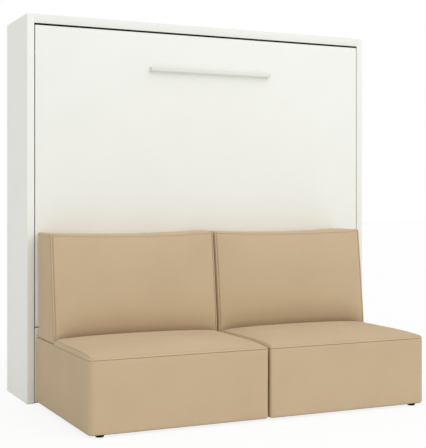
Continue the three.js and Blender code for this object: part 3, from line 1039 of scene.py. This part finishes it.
@dataclass
class BedFront:
    """The large front panel and its bar handle.

    Attributes:
        edge_mm: Radius of the panel's eased edges.
        side_trim_mm: How much wider than in the CAD the gap beside the panel is drawn.
        top_trim_mm: The same for the gap above it.
        bar_mm: Thickness of the handle's bar.
        post_mm: Width of each of its two posts.
        bar_edge_mm: Radius of the bar's edges.
        post_edge_mm: Radius of the posts' edges.
    """

    edge_mm: float = 0.7
    side_trim_mm: float = 1.2
    top_trim_mm: float = 3.0
    bar_mm: float = 9.0
    post_mm: float = 22.0
    bar_edge_mm: float = 2.5
    post_edge_mm: float = 0.6

    def build(self) -> None:
        """Builds the panel and the handle."""
        panel("bed_front", BED_BODY, self.edge_mm, self.side_trim_mm, self.top_trim_mm)
        self.handle()

    def handle(self) -> None:
        """Builds the bar on two posts, which stand on the front panel."""
        low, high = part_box("handle")
        bar_back = low.y + self.bar_mm * MM
        inset = self.bar_edge_mm * MM
        shell = box_shell(low, Vector((high.x, bar_back, high.z)), inset, segments=4)
        for start in (low.x, high.x - self.post_mm * MM):
            post = box_shell(
                Vector((start + inset, bar_back - inset, low.z + inset)),
                Vector((start + self.post_mm * MM - inset, high.y, high.z - inset)),
                self.post_edge_mm * MM,
                segments=2,
            )
            mesh = as_mesh("post", post)
            shell.from_mesh(mesh)
            bpy.data.meshes.remove(mesh)
        piece = make_piece("handle_bar", shell, [HANDLE_LACQUER], BED_BODY)
        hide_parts("handle")


@dataclass
class BedFrame:
    """The steel rails and the sprung slats.

    Attributes:
        frame: The loaded frame.
        slats: How many slats there are.
    """

    frame: dict
    slats: int = 12

    def build(self) -> None:
        """Dresses the rails and the beam, and replaces the slats by smooth copies."""
        rails = [f"frame_rail_{place}" for place in ("left", "right", "head", "foot")]
        for node in rails + ["centre_beam"]:
            dress(self.frame["nodes"][node], POWDER_COAT)
        for number in range(1, self.slats + 1):
            node = f"slat_{number:02d}"
            smooth_copy(self.frame, node, BEECH, BED_BODY, "beech")


@dataclass
class Mattress:
    """The mattress with its quilted faces, taped edges and two straps.

    Attributes:
        frame: The loaded frame.
        edge_mm: Radius of its edges.
        crown_mm: How far each face sinks from its middle to its edges.
        quilt_mm: Distance between the quilting lines.
        quilt_width_mm: Half the width of the crease along a quilting line.
        quilt_depth_mm: Depth of the quilting lines.
        puff_power: How steeply each quilted square rises from its lines.
        tape_inset_mm: How far from each face the edge tape runs.
        tape_width_mm: Half the width of the edge tape.
        tape_height_mm: How far the edge tape stands out.
        cells: How many cells its block has along each axis.
        fill: Share of its volume that its filling takes up; not used.
    """

    frame: dict
    edge_mm: float = 34.0
    crown_mm: float = 8.0
    quilt_mm: float = 166.0
    quilt_width_mm: float = 7.0
    quilt_depth_mm: float = 11.0
    puff_power: float = 0.4
    tape_inset_mm: float = 12.0
    tape_width_mm: float = 6.0
    tape_height_mm: float = 4.0
    cells: Cells = (72, 8, 58)
    fill: float = 0.85

    def build(self) -> None:
        """Builds the mattress and dresses its straps."""
        low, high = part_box("mattress")
        half = (high - low) / 2
        centre = (high + low) / 2
        shell = grid_block(half, self.cells)
        for axis, place in self.lines(half):
            cut_line(shell, axis, place)
        depths = [self.relief(vert.co, half) for vert in shell.verts]
        for vert in shell.verts:
            vert.co = self.shape(vert.co.copy(), half)
        press_in(shell, depths)
        bmesh.ops.translate(shell, vec=centre, verts=shell.verts)
        lay_cloth(shell)
        piece = make_piece("mattress_quilted", shell, [TICKING], BED_BODY, ALL_SOFT_DEGREES)
        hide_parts("mattress")
        for side in Side:
            node = f"mattress_strap_{side.value}"
            smooth_copy(self.frame, node, WEBBING, BED_BODY, "woven")

    def lines(self, half: Vector) -> list[Plane]:
        """Places the planes that cut the quilting lines and edge tapes.

        Args:
            half: Half the mattress's size.

        Returns:
            Each plane's axis and its place on that axis.
        """
        step = self.quilt_mm * MM
        planes = [
            (axis, k * step + spread * self.quilt_width_mm * MM)
            for axis in (0, 2)
            for k in range(-int(half[axis] / step), int(half[axis] / step) + 1)
            for spread in (-1, 0, 1)
        ]
        tape = half.y - self.tape_inset_mm * MM
        return planes + [
            (1, sign * (tape + spread * self.tape_width_mm * MM))
            for sign in (-1, 1)
            for spread in (-1, 0, 1)
        ]

    def shape(self, point: Vector, half: Vector) -> Vector:
        """Rounds the block and lets its faces sink towards the edges.

        Args:
            point: A point of the block.
            half: Half the mattress's size.

        Returns:
            Its place on the mattress.
        """
        rounded = round_edges(point, half, self.edge_mm * MM)
        middle = (1 - (rounded.x / half.x) ** 2) * (1 - (rounded.z / half.z) ** 2)
        sink = self.crown_mm * MM * (1 - math.sqrt(max(middle, 0.0)))
        rounded.y -= sink * max(rounded.y / half.y, 0.0)
        return rounded

    def relief(self, point: Vector, half: Vector) -> float:
        """Works out how deep the quilting and the tape press a point in.

        Args:
            point: A point of the block.
            half: Half the mattress's size.

        Returns:
            The depth, below zero where the tape stands out.
        """
        if abs(point.y) < half.y * ON_FACE:
            inset = half.y - abs(point.y) - self.tape_inset_mm * MM
            return -self.tape_height_mm * MM * seam_share(inset, self.tape_width_mm * MM)
        step = self.quilt_mm * MM
        puff = abs(math.sin(math.pi * point.x / step) * math.sin(math.pi * point.z / step))
        rim = min(half.x - abs(point.x), half.z - abs(point.z))
        fade = min(1.0, rim / (2 * self.edge_mm * MM))
        return self.quilt_depth_mm * MM * (1 - puff**self.puff_power) * fade


@dataclass(frozen=True)
class Filling:
    """Blows up a soft piece's cover by cloth simulation, between the seams that hold it.

    Attributes:
        pressure: Pressure of the filling on the cover.
        frames: How many frames the simulation runs.
        steps: How many steps each frame takes.
        limit_mm: The furthest that a point of the cover may move.
    """

    pressure: float = 4.0
    frames: int = 20
    steps: int = 5
    limit_mm: float = 12.0

    def swell(self, shell: Shell, shape: Move, freedom: Share) -> list[Vector]:
        """Lets the cover swell.

        Args:
            shell: The block, whose vertices still lie on its flat faces.
            shape: Puts a point of the block where it lies before it swells.
            freedom: How far a point of the block may follow the pressure, zero where it is held.

        Returns:
            How far each vertex moves.
        """
        mesh = bpy.data.meshes.new("cover")
        shell.to_mesh(mesh)
        starts = [shape(vert.co) for vert in shell.verts]
        mesh.vertices.foreach_set("co", [value for start in starts for value in start])
        cover = add_object("cover", mesh)
        scene = bpy.context.scene
        shares = [freedom(vert.co) for vert in shell.verts]
        held = cover.vertex_groups.new(name="held")
        held.add([i for i, share in enumerate(shares) if share == 0], 1.0, "REPLACE")
        self.press(cover)
        for frame in range(1, self.frames + 1):
            scene.frame_set(frame)
        graph = bpy.context.evaluated_depsgraph_get()
        moved = cover.evaluated_get(graph).data.vertices
        moves = [moved[i].co - start for i, start in enumerate(starts)]
        scene.frame_set(1)
        bpy.data.objects.remove(cover)
        bpy.data.meshes.remove(mesh)
        LOG.info("swelling: %.1f mm before the limit", max(m.length for m in moves) / MM)
        return [self.limited(move) * share for move, share in zip(moves, shares)]

    def press(self, cover: Piece) -> None:
        """Adds the cloth and the pressure in it to a cover.

        Args:
            cover: The cover, with its vertex group "held".
        """
        cloth = cover.modifiers.new("filling", "CLOTH")
        cloth.settings.quality = self.steps
        cloth.settings.use_pressure = True
        cloth.settings.uniform_pressure_force = self.pressure
        cloth.settings.vertex_group_mass = "held"
        cloth.settings.effector_weights.gravity = 0.0
        cloth.point_cache.frame_start = 1
        cloth.point_cache.frame_end = self.frames

    def limited(self, move: Vector) -> Vector:
        """Shortens a move smoothly, so that none is longer than the limit.

        Args:
            move: How far a point would move.

        Returns:
            How far it does move.
        """
        limit = self.limit_mm * MM
        if move.length < TINY:
            return move
        return move * (limit * math.tanh(move.length / limit) / move.length)


@dataclass
class Cushion:
    """A soft piece that starts as a block, is shaped, swells and is sewn.

    Attributes:
        half: Half the block's size.
        cells: How many cells the block has along each axis.
        filling: What blows up its cover.
        stitch_mm: Distance of the top stitching from the edge seam beside it.
        seam_mm: Half the width of a pressed seam.
        seam_depth_mm: Depth of a pressed seam.
        block: The block with its swelling, once it is made.
    """

    half: Vector
    cells: Cells
    filling: Filling
    stitch_mm: float = 12.0
    seam_mm: float = 3.5
    seam_depth_mm: float = 8.0
    block: Optional[Shell] = field(default=None, init=False)

    def shape(self, point: Vector) -> Vector:
        """Puts a point of the block on the piece, before it swells."""
        raise NotImplementedError

    def freedom(self, point: Vector) -> float:
        """How far a point of the block may swell, zero where it is held and one at most."""
        raise NotImplementedError

    def seam(self, point: Vector) -> float:
        """How deep the seams are at a point of the block, one at most."""
        raise NotImplementedError

    def seam_lines(self) -> list[Plane]:
        """The axis and the place of each plane that cuts a seam's lines into the block."""
        raise NotImplementedError

    def stitch_row(self) -> list[Vector]:
        """The block's points under the stitches, in order."""
        raise NotImplementedError

    def cuts(self, axis: int, sign: int, inset_mm: float) -> list[Plane]:
        """Cuts the middle and both edges of a seam that runs beside a face.

        Args:
            axis: The axis across the face.
            sign: Which of the axis's two faces it is.
            inset_mm: How far inside the face the seam runs.

        Returns:
            Each plane's axis and its place on that axis.
        """
        edge = self.half[axis]
        insets = [(inset_mm + k * self.seam_mm) * MM for k in (-1, 0, 1)]
        return [(axis, sign * (edge - inset)) for inset in insets]

    def cover(self, place: Move) -> Shell:
        """Shapes the swollen block and presses its seams in.

        Args:
            place: Puts a point of the piece where it belongs on the object.

        Returns:
            The finished cover.
        """
        if self.block is None:
            self.block = grid_block(self.half, self.cells)
            layer = self.block.verts.layers.float_vector.new(SWELLING)
            moves = self.filling.swell(self.block, self.shape, self.freedom)
            for vert, move in zip(self.block.verts, moves):
                vert[layer] = move
        shell = self.block.copy()
        for axis, spot in self.seam_lines():
            cut_line(shell, axis, spot)
        layer = shell.verts.layers.float_vector[SWELLING]
        depths = [self.seam(vert.co) * self.seam_depth_mm * MM for vert in shell.verts]
        for vert in shell.verts:
            vert.co = place(self.shape(vert.co) + vert[layer])
        press_in(shell, depths)
        lay_cloth(shell)
        return shell


@dataclass
class SeatCushion(Cushion):
    """The crowned seat, whose origin is the middle of its lower front edge.

    Attributes:
        dome_depth: Depth of the whole module, over which the crown runs.
        crown_mm: Height of the crown over the edge.
        edge_mm: Height of the edge over the seam.
        side_power: How gently the crown rises from the sides.
        front_power: How gently the crown rises from the front.
        front_flatness: How flat the crown's top is from front to back.
        roll_mm: Radius of the rear edge, which rolls down to the back cushion.
        reach_mm: How far the middle of the rear edge reaches under the back cushion.
        reach_power: How close to the rear edge, and how broad, that reach is.
        stitch_share: Depth of the top stitching as a share of a seam's.
    """

    dome_depth: float = field(kw_only=True)
    crown_mm: float = 44.0
    edge_mm: float = 2.5
    side_power: float = 0.19
    front_power: float = 0.6
    front_flatness: float = 4.0
    roll_mm: float = 12.0
    reach_mm: float = 9.0
    reach_power: float = 8.0
    stitch_share: float = 0.7

    def shape(self, point: Vector) -> Vector:
        """Crowns the seat, highest in the middle of the module's depth.

        Args:
            point: A point of the block.

        Returns:
            Its place on the seat.
        """
        across = point.x / self.half.x
        ahead = point.y + self.half.y
        along = ahead / (self.dome_depth / 2) - 1
        side_rise = max(1 - across**2, 0.0) ** self.side_power
        front_rise = max(1 - abs(along) ** self.front_flatness, 0.0) ** self.front_power
        added = self.filling.limit_mm
        top = (self.edge_mm + (self.crown_mm - added) * side_rise * front_rise) * MM
        roll = self.roll_mm * MM
        short = max(roll - (self.half.y - point.y), 0.0)
        top -= roll - math.sqrt(roll**2 - short**2)
        broad = 1 - abs(across) ** self.reach_power
        under = self.reach_mm * MM * broad * (ahead / (2 * self.half.y)) ** self.reach_power
        return Vector((point.x, ahead + under, top * (point.z / self.half.z + 1) / 2))

    def freedom(self, point: Vector) -> float:
        """Frees the top inside the top stitching.

        Args:
            point: A point of the block.

        Returns:
            One if it may swell, and zero if it is held.
        """
        if point.z < self.half.z * ON_FACE:
            return 0.0
        rim = min(self.half.x - abs(point.x), self.half.y - abs(point.y))
        return 0.0 if rim < self.stitch_mm * MM else 1.0

    def seam(self, point: Vector) -> float:
        """Presses the top stitching in along the sides and the front.

        Args:
            point: A point of the block.

        Returns:
            How deep it is pressed in, one at most.
        """
        if point.z < self.half.z * ON_FACE:
            return 0.0
        rim = min(self.half.x - abs(point.x), point.y + self.half.y)
        return self.stitch_share * seam_share(rim - self.stitch_mm * MM, self.seam_mm * MM)

    def seam_lines(self) -> list[Plane]:
        """Cuts three lines along each side and the front.

        Returns:
            Each line's axis and its place on that axis.
        """
        faces = ((0, -1), (0, 1), (1, -1))
        return [cut for axis, sign in faces for cut in self.cuts(axis, sign, self.stitch_mm)]

    def stitch_row(self) -> list[Vector]:
        """Runs the top stitching from the rear round the front and back.

        Returns:
            The row's points.
        """
        inset = self.stitch_mm * MM
        x = self.half.x - inset
        front = inset - self.half.y
        corners = [(-x, self.half.y - inset), (-x, front), (x, front), (x, self.half.y - inset)]
        return spaced([Vector((*corner, self.half.z)) for corner in corners])


@dataclass
class BackCushion(Cushion):
    """The leaning back cushion, whose origin is the middle of its lower rear edge.

    Attributes:
        foot_depth_mm: Its depth at the foot.
        top_depth_mm: Its depth at the top.
        edge_mm: Radius of its level edges.
        front_corner_mm: Radius of its upright edges in front.
        rear_corner_mm: Radius of its upright edges behind.
        edge_seam_mm: How far behind the front and before the rear its edge seams run.
        crown_mm: How far its front swells.
        crown_flatness: How flat that swell is from foot to top.
        end_mm: How far the front turns back at its two ends.
        end_power: How close to the ends that turn stays.
        tuck_mm: How far the foot of the front is tucked in.
        tuck_reach_mm: How far up the tuck reaches.
        tuck_power: How close to the foot the tuck stays.
        draw_mm: How far its sides are drawn in.
        bulge_mm: How far its ends stand out over its CAD node, into the gap between cushions.
        flare_mm: How far its top corners stand out over its foot.
        dip_mm: How far its top dips between its corners.
        dip_flatness: How close to the top the dip stays.
        side_freedom: How far its sides swell, against its front.
        top_freedom: How far its top swells, against its front.
        stitch_share: Depth of the stitching up its sides as a share of a seam's.
        top_stitch_share: The same for the stitching along its top.
    """

    foot_depth_mm: float = 334.0
    top_depth_mm: float = 269.0
    edge_mm: float = 10.0
    front_corner_mm: float = 11.0
    rear_corner_mm: float = 36.0
    edge_seam_mm: float = 7.0
    crown_mm: float = 25.0
    crown_flatness: float = 2.5
    end_mm: float = 6.0
    end_power: float = 8.0
    tuck_mm: float = 56.0
    tuck_reach_mm: float = 120.0
    tuck_power: float = 2.0
    draw_mm: float = 1.0
    bulge_mm: float = 5.2
    flare_mm: float = 0.8
    dip_mm: float = 14.0
    dip_flatness: float = 8.0
    side_freedom: float = 0.3
    top_freedom: float = 0.2
    stitch_share: float = 0.8
    top_stitch_share: float = 0.4

    def shape(self, point: Vector) -> Vector:
        """Shapes the block: upright behind, leaning and crowned in front, flared at its top.

        Args:
            point: A point of the block.

        Returns:
            Its place on the cushion.
        """
        upright = self.front_corner_mm if point.y < 0 else self.rear_corner_mm
        rounded = round_edges(point, self.half, self.edge_mm * MM, upright * MM)
        across = rounded.x / self.half.x
        rise = rounded.z / self.half.z
        up = (rise + 1) / 2
        forward = (self.half.y - rounded.y) / (2 * self.half.y)
        depth = (self.foot_depth_mm + (self.top_depth_mm - self.foot_depth_mm) * up) * MM
        added = self.filling.limit_mm
        middle = (1 - abs(rise) ** self.crown_flatness) * math.sqrt(max(1 - across**2, 0.0))
        foot = max(1 - (self.half.z + rounded.z) / (self.tuck_reach_mm * MM), 0.0)
        end = abs(across) ** self.end_power
        back = self.end_mm * end + self.tuck_mm * foot**self.tuck_power * (1 - end)
        crown = ((self.crown_mm - added) * middle - back) * MM * forward
        drawn = self.draw_mm * MM * (1 - rise**2) * 4 * forward * (1 - forward)
        dip = self.dip_mm * MM * (1 - across**2) * up**self.dip_flatness
        return Vector(
            (
                rounded.x + across * ((self.bulge_mm + self.flare_mm * up) * MM - drawn),
                -forward * depth - crown,
                self.half.z + rounded.z - dip,
            )
        )

    def rims(self, point: Vector) -> list[float]:
        """How far a point of the block is from the face pair across each axis."""
        return [self.half[axis] - abs(point[axis]) for axis in range(3)]

    def freedom(self, point: Vector) -> float:
        """Frees the front inside its top stitching, and the sides and top less.

        Args:
            point: A point of the block.

        Returns:
            How far it may swell, zero where it is held and one at most.
        """
        across, ahead, up = self.rims(point)
        if sorted((across, ahead, up))[1] < NEAR:
            return 0.0
        if ahead < NEAR:
            held = point.y > 0 or min(across, up) < self.stitch_mm * MM
            return 0.0 if held else 1.0
        if across < NEAR:
            return self.side_freedom
        return self.top_freedom if point.z > 0 else 0.0

    def seam(self, point: Vector) -> float:
        """Presses in the seams round the sides and the top, and the front's top stitching.

        Args:
            point: A point of the block.

        Returns:
            How deep it is pressed in, one at most.
        """
        across, ahead, _ = self.rims(point)
        if point.y > -self.half.y * ON_FACE:
            return seam_share(ahead - self.edge_seam_mm * MM, self.seam_mm * MM)
        sides = seam_share(across - self.stitch_mm * MM, self.seam_mm * MM)
        top = seam_share(self.half.z - point.z - self.stitch_mm * MM, self.seam_mm * MM)
        return max(self.stitch_share * sides, self.top_stitch_share * top)

    def seam_lines(self) -> list[Plane]:
        """Cuts three lines along each edge seam, and along the front's sides and top.

        Returns:
            Each line's axis and its place on that axis.
        """
        edges = [cut for sign in (-1, 1) for cut in self.cuts(1, sign, self.edge_seam_mm)]
        faces = ((0, -1), (0, 1), (2, 1))
        return edges + [
            cut for axis, sign in faces for cut in self.cuts(axis, sign, self.stitch_mm)
        ]

    def stitch_row(self) -> list[Vector]:
        """Runs the stitching up one side of the front, along its top and down the other.

        Returns:
            The row's points.
        """
        inset = self.stitch_mm * MM
        x = self.half.x - inset
        top = self.half.z - inset
        corners = [(-x, -self.half.z), (-x, top), (x, top), (x, -self.half.z)]
        return spaced([Vector((x, -self.half.y, z)) for x, z in corners])


@dataclass
class SofaModule:
    """One sofa module: a base block, a crowned seat, a leaning back cushion and four glides.

    Attributes:
        frame: The loaded frame.
        side: Which module it is.
        seat: The seat cushion's form, shared by both modules.
        rest: The back cushion's form, shared by both modules.
        outer_corner_mm: Radius in plan of the front corner at the sofa's end.
        inner_corner_mm: Radius in plan of the front corner beside the other module.
        hem_mm: Radius of the base's lower edge.
        welt_mm: Radius of the base's upper edge, at the seat's seam.
        outer_shift_mm: How far to the right the back cushion's outer end lies of its CAD node's.
        keep: What is left of a back cushion's height under the lowered bed; not used.
        base_cells: How many cells the base's block has along each axis.
        base_fill: Share of the base's volume that its filling takes up.
        seat_fill: The same for the seat.
        back_fill: The same for the back cushion.
    """

    frame: dict
    side: Side
    seat: SeatCushion
    rest: BackCushion
    outer_corner_mm: float = 32.0
    inner_corner_mm: float = 9.0
    hem_mm: float = 7.0
    welt_mm: float = 3.0
    outer_shift_mm: float = 9.0
    keep: float = 0.085
    base_cells: Cells = (44, 44, 16)
    base_fill: float = 0.9
    seat_fill: float = 0.7
    back_fill: float = 0.8

    def build(self) -> None:
        """Builds the module's pieces."""
        self.base()
        self.seat_cushion()
        self.back_cushion()
        for row in ("front", "rear"):
            for end in Side:
                node = f"glide_{self.side.value}_{row}_{end.value}"
                smooth_copy(self.frame, node, BLACK_PLASTIC_AND_PAINTED_SHADE, CABINET_BODY, "moulded")

    def corner(self, point: Vector, half_width: float) -> Vector:
        """Draws a point of the plan in to the round front corners.

        Args:
            point: A point whose x is measured from the middle and whose y from the front.
            half_width: Half the module's width.

        Returns:
            The point, moved where it lies in a corner.
        """
        at_end = (point.x < 0) == (self.side is Side.LEFT)
        radius = (self.outer_corner_mm if at_end else self.inner_corner_mm) * MM
        core_x = max(min(point.x, half_width - radius), radius - half_width)
        core_y = max(point.y, radius)
        out = turned(Vector((point.x - core_x, point.y - core_y)))
        return Vector((core_x + out.x, core_y + out.y, point.z))

    def upholstered(self, node: str, shell: Shell, fill: float) -> Piece:
        """Turns a cover into the padded piece that stands for a CAD node.

        Args:
            node: The CAD node.
            shell: The cover.
            fill: Share of the piece's volume that its filling takes up; not used.

        Returns:
            The padded piece.
        """
        piece = make_piece(
            f"{node}_upholstered", shell, [PLAIN_WEAVE, DUST_COVER], CABINET_BODY, ALL_SOFT_DEGREES
        )
        soften(piece)
        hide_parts(node)
        return piece

    def sewn(self, kind: str, form: Cushion, place: Move, fill: float) -> tuple[Piece, Piece]:
        """Builds one cushion and the stitches on it.

        Args:
            kind: Which cushion it is, as its node's name begins.
            form: Its form.
            place: Puts a point of the form where it belongs on the object.
            fill: Share of its volume that its filling takes up.

        Returns:
            The cushion and the stitches.
        """
        piece = self.upholstered(f"{kind}_cushion_{self.side.value}", form.cover(place), fill)
        row = [place(form.shape(point)) for point in form.stitch_row()]
        return piece, Stitching().sew(f"{kind}_stitches_{self.side.value}", piece, row)

    def base(self) -> None:
        """Builds the base block, with a rolled hem and a dust cover under it."""
        node = f"seat_base_{self.side.value}"
        low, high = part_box(node)
        half = (high - low) / 2
        foot = Vector(((low.x + high.x) / 2, low.y, low.z))
        shell = grid_block(half, self.base_cells)
        for vert in shell.verts:
            radius = (self.welt_mm if vert.co.z > 0 else self.hem_mm) * MM
            eased = round_edges(vert.co, half, radius) + Vector((0, half.y, half.z))
            vert.co = self.corner(eased, half.x) + foot
        lay_cloth(shell)
        for face in shell.faces:
            face.material_index = 1 if face.normal.z < LOOKS_DOWN else 0
        self.upholstered(node, shell, self.base_fill)

    def seat_cushion(self) -> None:
        """Builds the crowned seat with its stitched edge."""
        low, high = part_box(f"seat_cushion_{self.side.value}")
        foot = Vector(((low.x + high.x) / 2, low.y, low.z))

        def place(point: Vector) -> Vector:
            """Rounds the corners and puts the seat on its base."""
            return self.corner(point, self.seat.half.x) + foot

        self.sewn("seat", self.seat, place, self.seat_fill)

    def back_cushion(self) -> None:
        """Builds the back cushion with its seams, and gives it and its stitches meshes of their
        own.
        """
        low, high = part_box(f"back_cushion_{self.side.value}")
        foot = Vector(((low.x + high.x) / 2, high.y, low.z))
        outwards = -1 if self.side is Side.LEFT else 1

        def place(point: Vector) -> Vector:
            """Puts the cushion on the base, against the cabinet."""
            outer = (1 + outwards * point.x / self.rest.half.x) / 2
            return point + foot + Vector((self.outer_shift_mm * MM * outer, 0, 0))

        for squashed in self.sewn("back", self.rest, place, self.back_fill):
            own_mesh(squashed)


@dataclass
class Sofa:
    """The two modules, whose cushions are cut to the same pattern.

    Attributes:
        frame: The loaded frame.
        seat_limit_mm: How far a seat's cover swells.
        back_limit_mm: How far a back cushion's cover swells.
        flare_mm: How far a back cushion's CAD node stands out at its top.
        seat_cells: How many cells a seat's block has along each axis.
        back_cells: How many cells a back cushion's block has along each axis.
    """

    frame: dict
    seat_limit_mm: float = 6.0
    back_limit_mm: float = 12.0
    flare_mm: float = 4.0
    seat_cells: Cells = (64, 44, 4)
    back_cells: Cells = (64, 24, 42)

    def build(self) -> None:
        """Cuts the cushions' forms and builds both modules with them."""
        seat = self.seat_form()
        rest = self.back_form()
        for side in Side:
            SofaModule(self.frame, side, seat, rest).build()

    def seat_form(self) -> SeatCushion:
        """Takes the seat's size from its CAD node.

        Returns:
            The seat's form.
        """
        low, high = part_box("seat_cushion_left")
        front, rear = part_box("seat_base_left")
        return SeatCushion(
            (high - low) / 2,
            self.seat_cells,
            Filling(limit_mm=self.seat_limit_mm),
            dome_depth=rear.y - front.y,
        )

    def back_form(self) -> BackCushion:
        """Takes the back cushion's size from its CAD node's width and height.

        Returns:
            The back cushion's form.
        """
        low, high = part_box("back_cushion_left")
        depth = (BackCushion.foot_depth_mm + BackCushion.top_depth_mm) / 2 * MM
        half = Vector(((high.x - low.x) / 2 - self.flare_mm * MM, depth / 2, (high.z - low.z) / 2))
        return BackCushion(half, self.back_cells, Filling(limit_mm=self.back_limit_mm))


@dataclass
class Studio:
    """The pale floor, the soft light and the camera at the photograph's angle.

    The camera's values were fitted to the cabinet's and the sofa's corners in the photograph.
    Its place is measured from the foot of the cabinet's front left edge.

    Attributes:
        yaw: How far the camera looks to the right of +Y, in radians.
        offset: Its place, in metres.
        focal_px: Its focal length, in pixels of the photograph.
        centre_px: Where the camera looks, in pixels from the photograph's left and top.
        frame_px: The photograph's width and height.
        sensor_mm: The camera's sensor, along the photograph's longer side.
        world_level: Brightness of the light from all round.
        key: Energy and direction of the broad lamp high at the front right.
        fill: Energy and direction of the broad lamp at the left.
        lamp_degrees: How wide each lamp looks from the object.
        floor_m: Half the floor's width, in metres.
        clip_m: How far the camera sees, in metres.
        floor_glow: Share of the floor that is plain white to the eye, whatever falls on it.
        floor_shown: The paint's colour to the eye.
        floor_bounce: The paint's colour to the light that it throws back on the object.
    """

    yaw: float = 0.4352
    offset: tuple[float, float, float] = (-1.4705, -5.5233, 1.1273)
    focal_px: float = 1025.1
    centre_px: tuple[float, float] = (208.36, 199.2)
    frame_px: tuple[int, int] = (426, 448)
    sensor_mm: float = 36.0
    world_level: float = 0.6
    key: tuple[float, tuple[float, float, float]] = (1.257, (-0.42, 0.6, -0.68))
    fill: tuple[float, tuple[float, float, float]] = (0.37, (0.85, 0.35, -0.4))
    lamp_degrees: float = 75.0
    floor_m: float = 40.0
    clip_m: float = 200.0
    floor_glow: float = 0.85
    floor_shown: str = "#ffffff"
    floor_bounce: str = "#eeeeec"

    def build(self) -> None:
        """Builds the floor, the light and the camera."""
        self.floor()
        self.world()
        self.lamp("key", *self.key)
        self.lamp("fill", *self.fill)
        self.camera()

    def seen_ray(self, tree: Tree) -> Socket:
        """Tells rays from the eye, also by way of gloss or glass, from the rest.

        Args:
            tree: The material's or world's node tree.

        Returns:
            One for such rays, and zero for the rest.
        """
        path = add_node(tree, "ShaderNodeLightPath").outputs
        gloss = add_node(
            tree,
            "ShaderNodeMath",
            {"operation": "MAXIMUM"},
            {0: path["Is Glossy Ray"], 1: path["Is Transmission Ray"]},
        )
        return add_node(
            tree,
            "ShaderNodeMath",
            {"operation": "MAXIMUM"},
            {0: path["Is Camera Ray"], 1: gloss.outputs[0]},
        ).outputs[0]

    def floor(self) -> None:
        """Lays a wide white floor that keeps the object's soft shadow."""
        shell = bmesh.new()
        bmesh.ops.create_grid(shell, x_segments=1, y_segments=1, size=self.floor_m)
        floor = add_object("floor", as_mesh("floor", shell))
        floor.data.materials.append(self.floor_paint())

    def floor_paint(self) -> bpy.types.Material:
        """Mixes a white glow, for the eye alone, into matt paint that shows the shadow.

        Returns:
            The floor's material.
        """
        material = bpy.data.materials.new("white_floor_paint")
        tree = clear_tree(material)
        seen = self.seen_ray(tree)
        share = add_node(
            tree, "ShaderNodeMath", {"operation": "MULTIPLY", 1: self.floor_glow}, {0: seen}
        )
        colour = add_node(
            tree,
            "ShaderNodeMix",
            {
                "data_type": "RGBA",
                6: linear(self.floor_bounce),
                7: linear(self.floor_shown),
            },
            {0: seen},
        )
        paint = add_node(tree, "ShaderNodeBsdfDiffuse", links={0: colour.outputs[2]})
        glow = add_node(tree, "ShaderNodeEmission", {"Color": WHITE, "Strength": 1.0})
        mix = add_node(
            tree,
            "ShaderNodeMixShader",
            links={0: share.outputs[0], 1: paint.outputs[0], 2: glow.outputs[0]},
        )
        add_node(tree, "ShaderNodeOutputMaterial", links={"Surface": mix.outputs[0]})
        return material

    def world(self) -> None:
        """Lights the object from all round, and shows white to the eye."""
        world = bpy.data.worlds.new("studio")
        bpy.context.scene.world = world
        tree = clear_tree(world)
        light = add_node(
            tree, "ShaderNodeBackground", {"Color": WHITE, "Strength": self.world_level}
        )
        shown = add_node(tree, "ShaderNodeBackground", {"Color": WHITE, "Strength": 1.0})
        mix = add_node(
            tree,
            "ShaderNodeMixShader",
            links={0: self.seen_ray(tree), 1: light.outputs[0], 2: shown.outputs[0]},
        )
        add_node(tree, "ShaderNodeOutputWorld", links={0: mix.outputs[0]})

    def lamp(self, name: str, energy: float, towards: tuple[float, float, float]) -> None:
        """Adds a broad soft lamp.

        Args:
            name: The lamp's name.
            energy: Its energy.
            towards: The direction that its light goes in.
        """
        light = bpy.data.lights.new(name, "SUN")
        light.energy = energy
        light.angle = math.radians(self.lamp_degrees)
        lamp = add_object(name, light)
        lamp.rotation_euler = Vector(towards).to_track_quat("-Z", "Y").to_euler()

    def camera(self) -> None:
        """Places the level camera, shifted so that it looks where the photograph's did."""
        width, height = self.frame_px
        data = bpy.data.cameras.new("camera")
        data.sensor_width = self.sensor_mm
        data.lens = self.focal_px * self.sensor_mm / height
        data.shift_x = (width / 2 - self.centre_px[0]) / height
        data.shift_y = (self.centre_px[1] - height / 2) / height
        data.clip_end = self.clip_m
        camera = add_object("camera", data)
        corner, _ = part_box("side_panel_left")
        camera.location = Vector((corner.x, corner.y, 0.0)) + Vector(self.offset)
        camera.rotation_euler = (math.pi / 2, 0.0, -self.yaw)
        bpy.context.scene.camera = camera


def main() -> None:
    """Builds the object round the frame, and the studio round the object."""
    logging.basicConfig(level=logging.INFO, format="%(message)s")
    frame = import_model()
    bpy.context.scene.view_settings.view_transform = "Standard"
    Cabinet(frame).build()
    Hardware(frame).build()
    BedFront().build()
    BedFrame(frame).build()
    Mattress(frame).build()
    Sofa(frame).build()
    Studio().build()


if __name__ == "__main__":
    main()
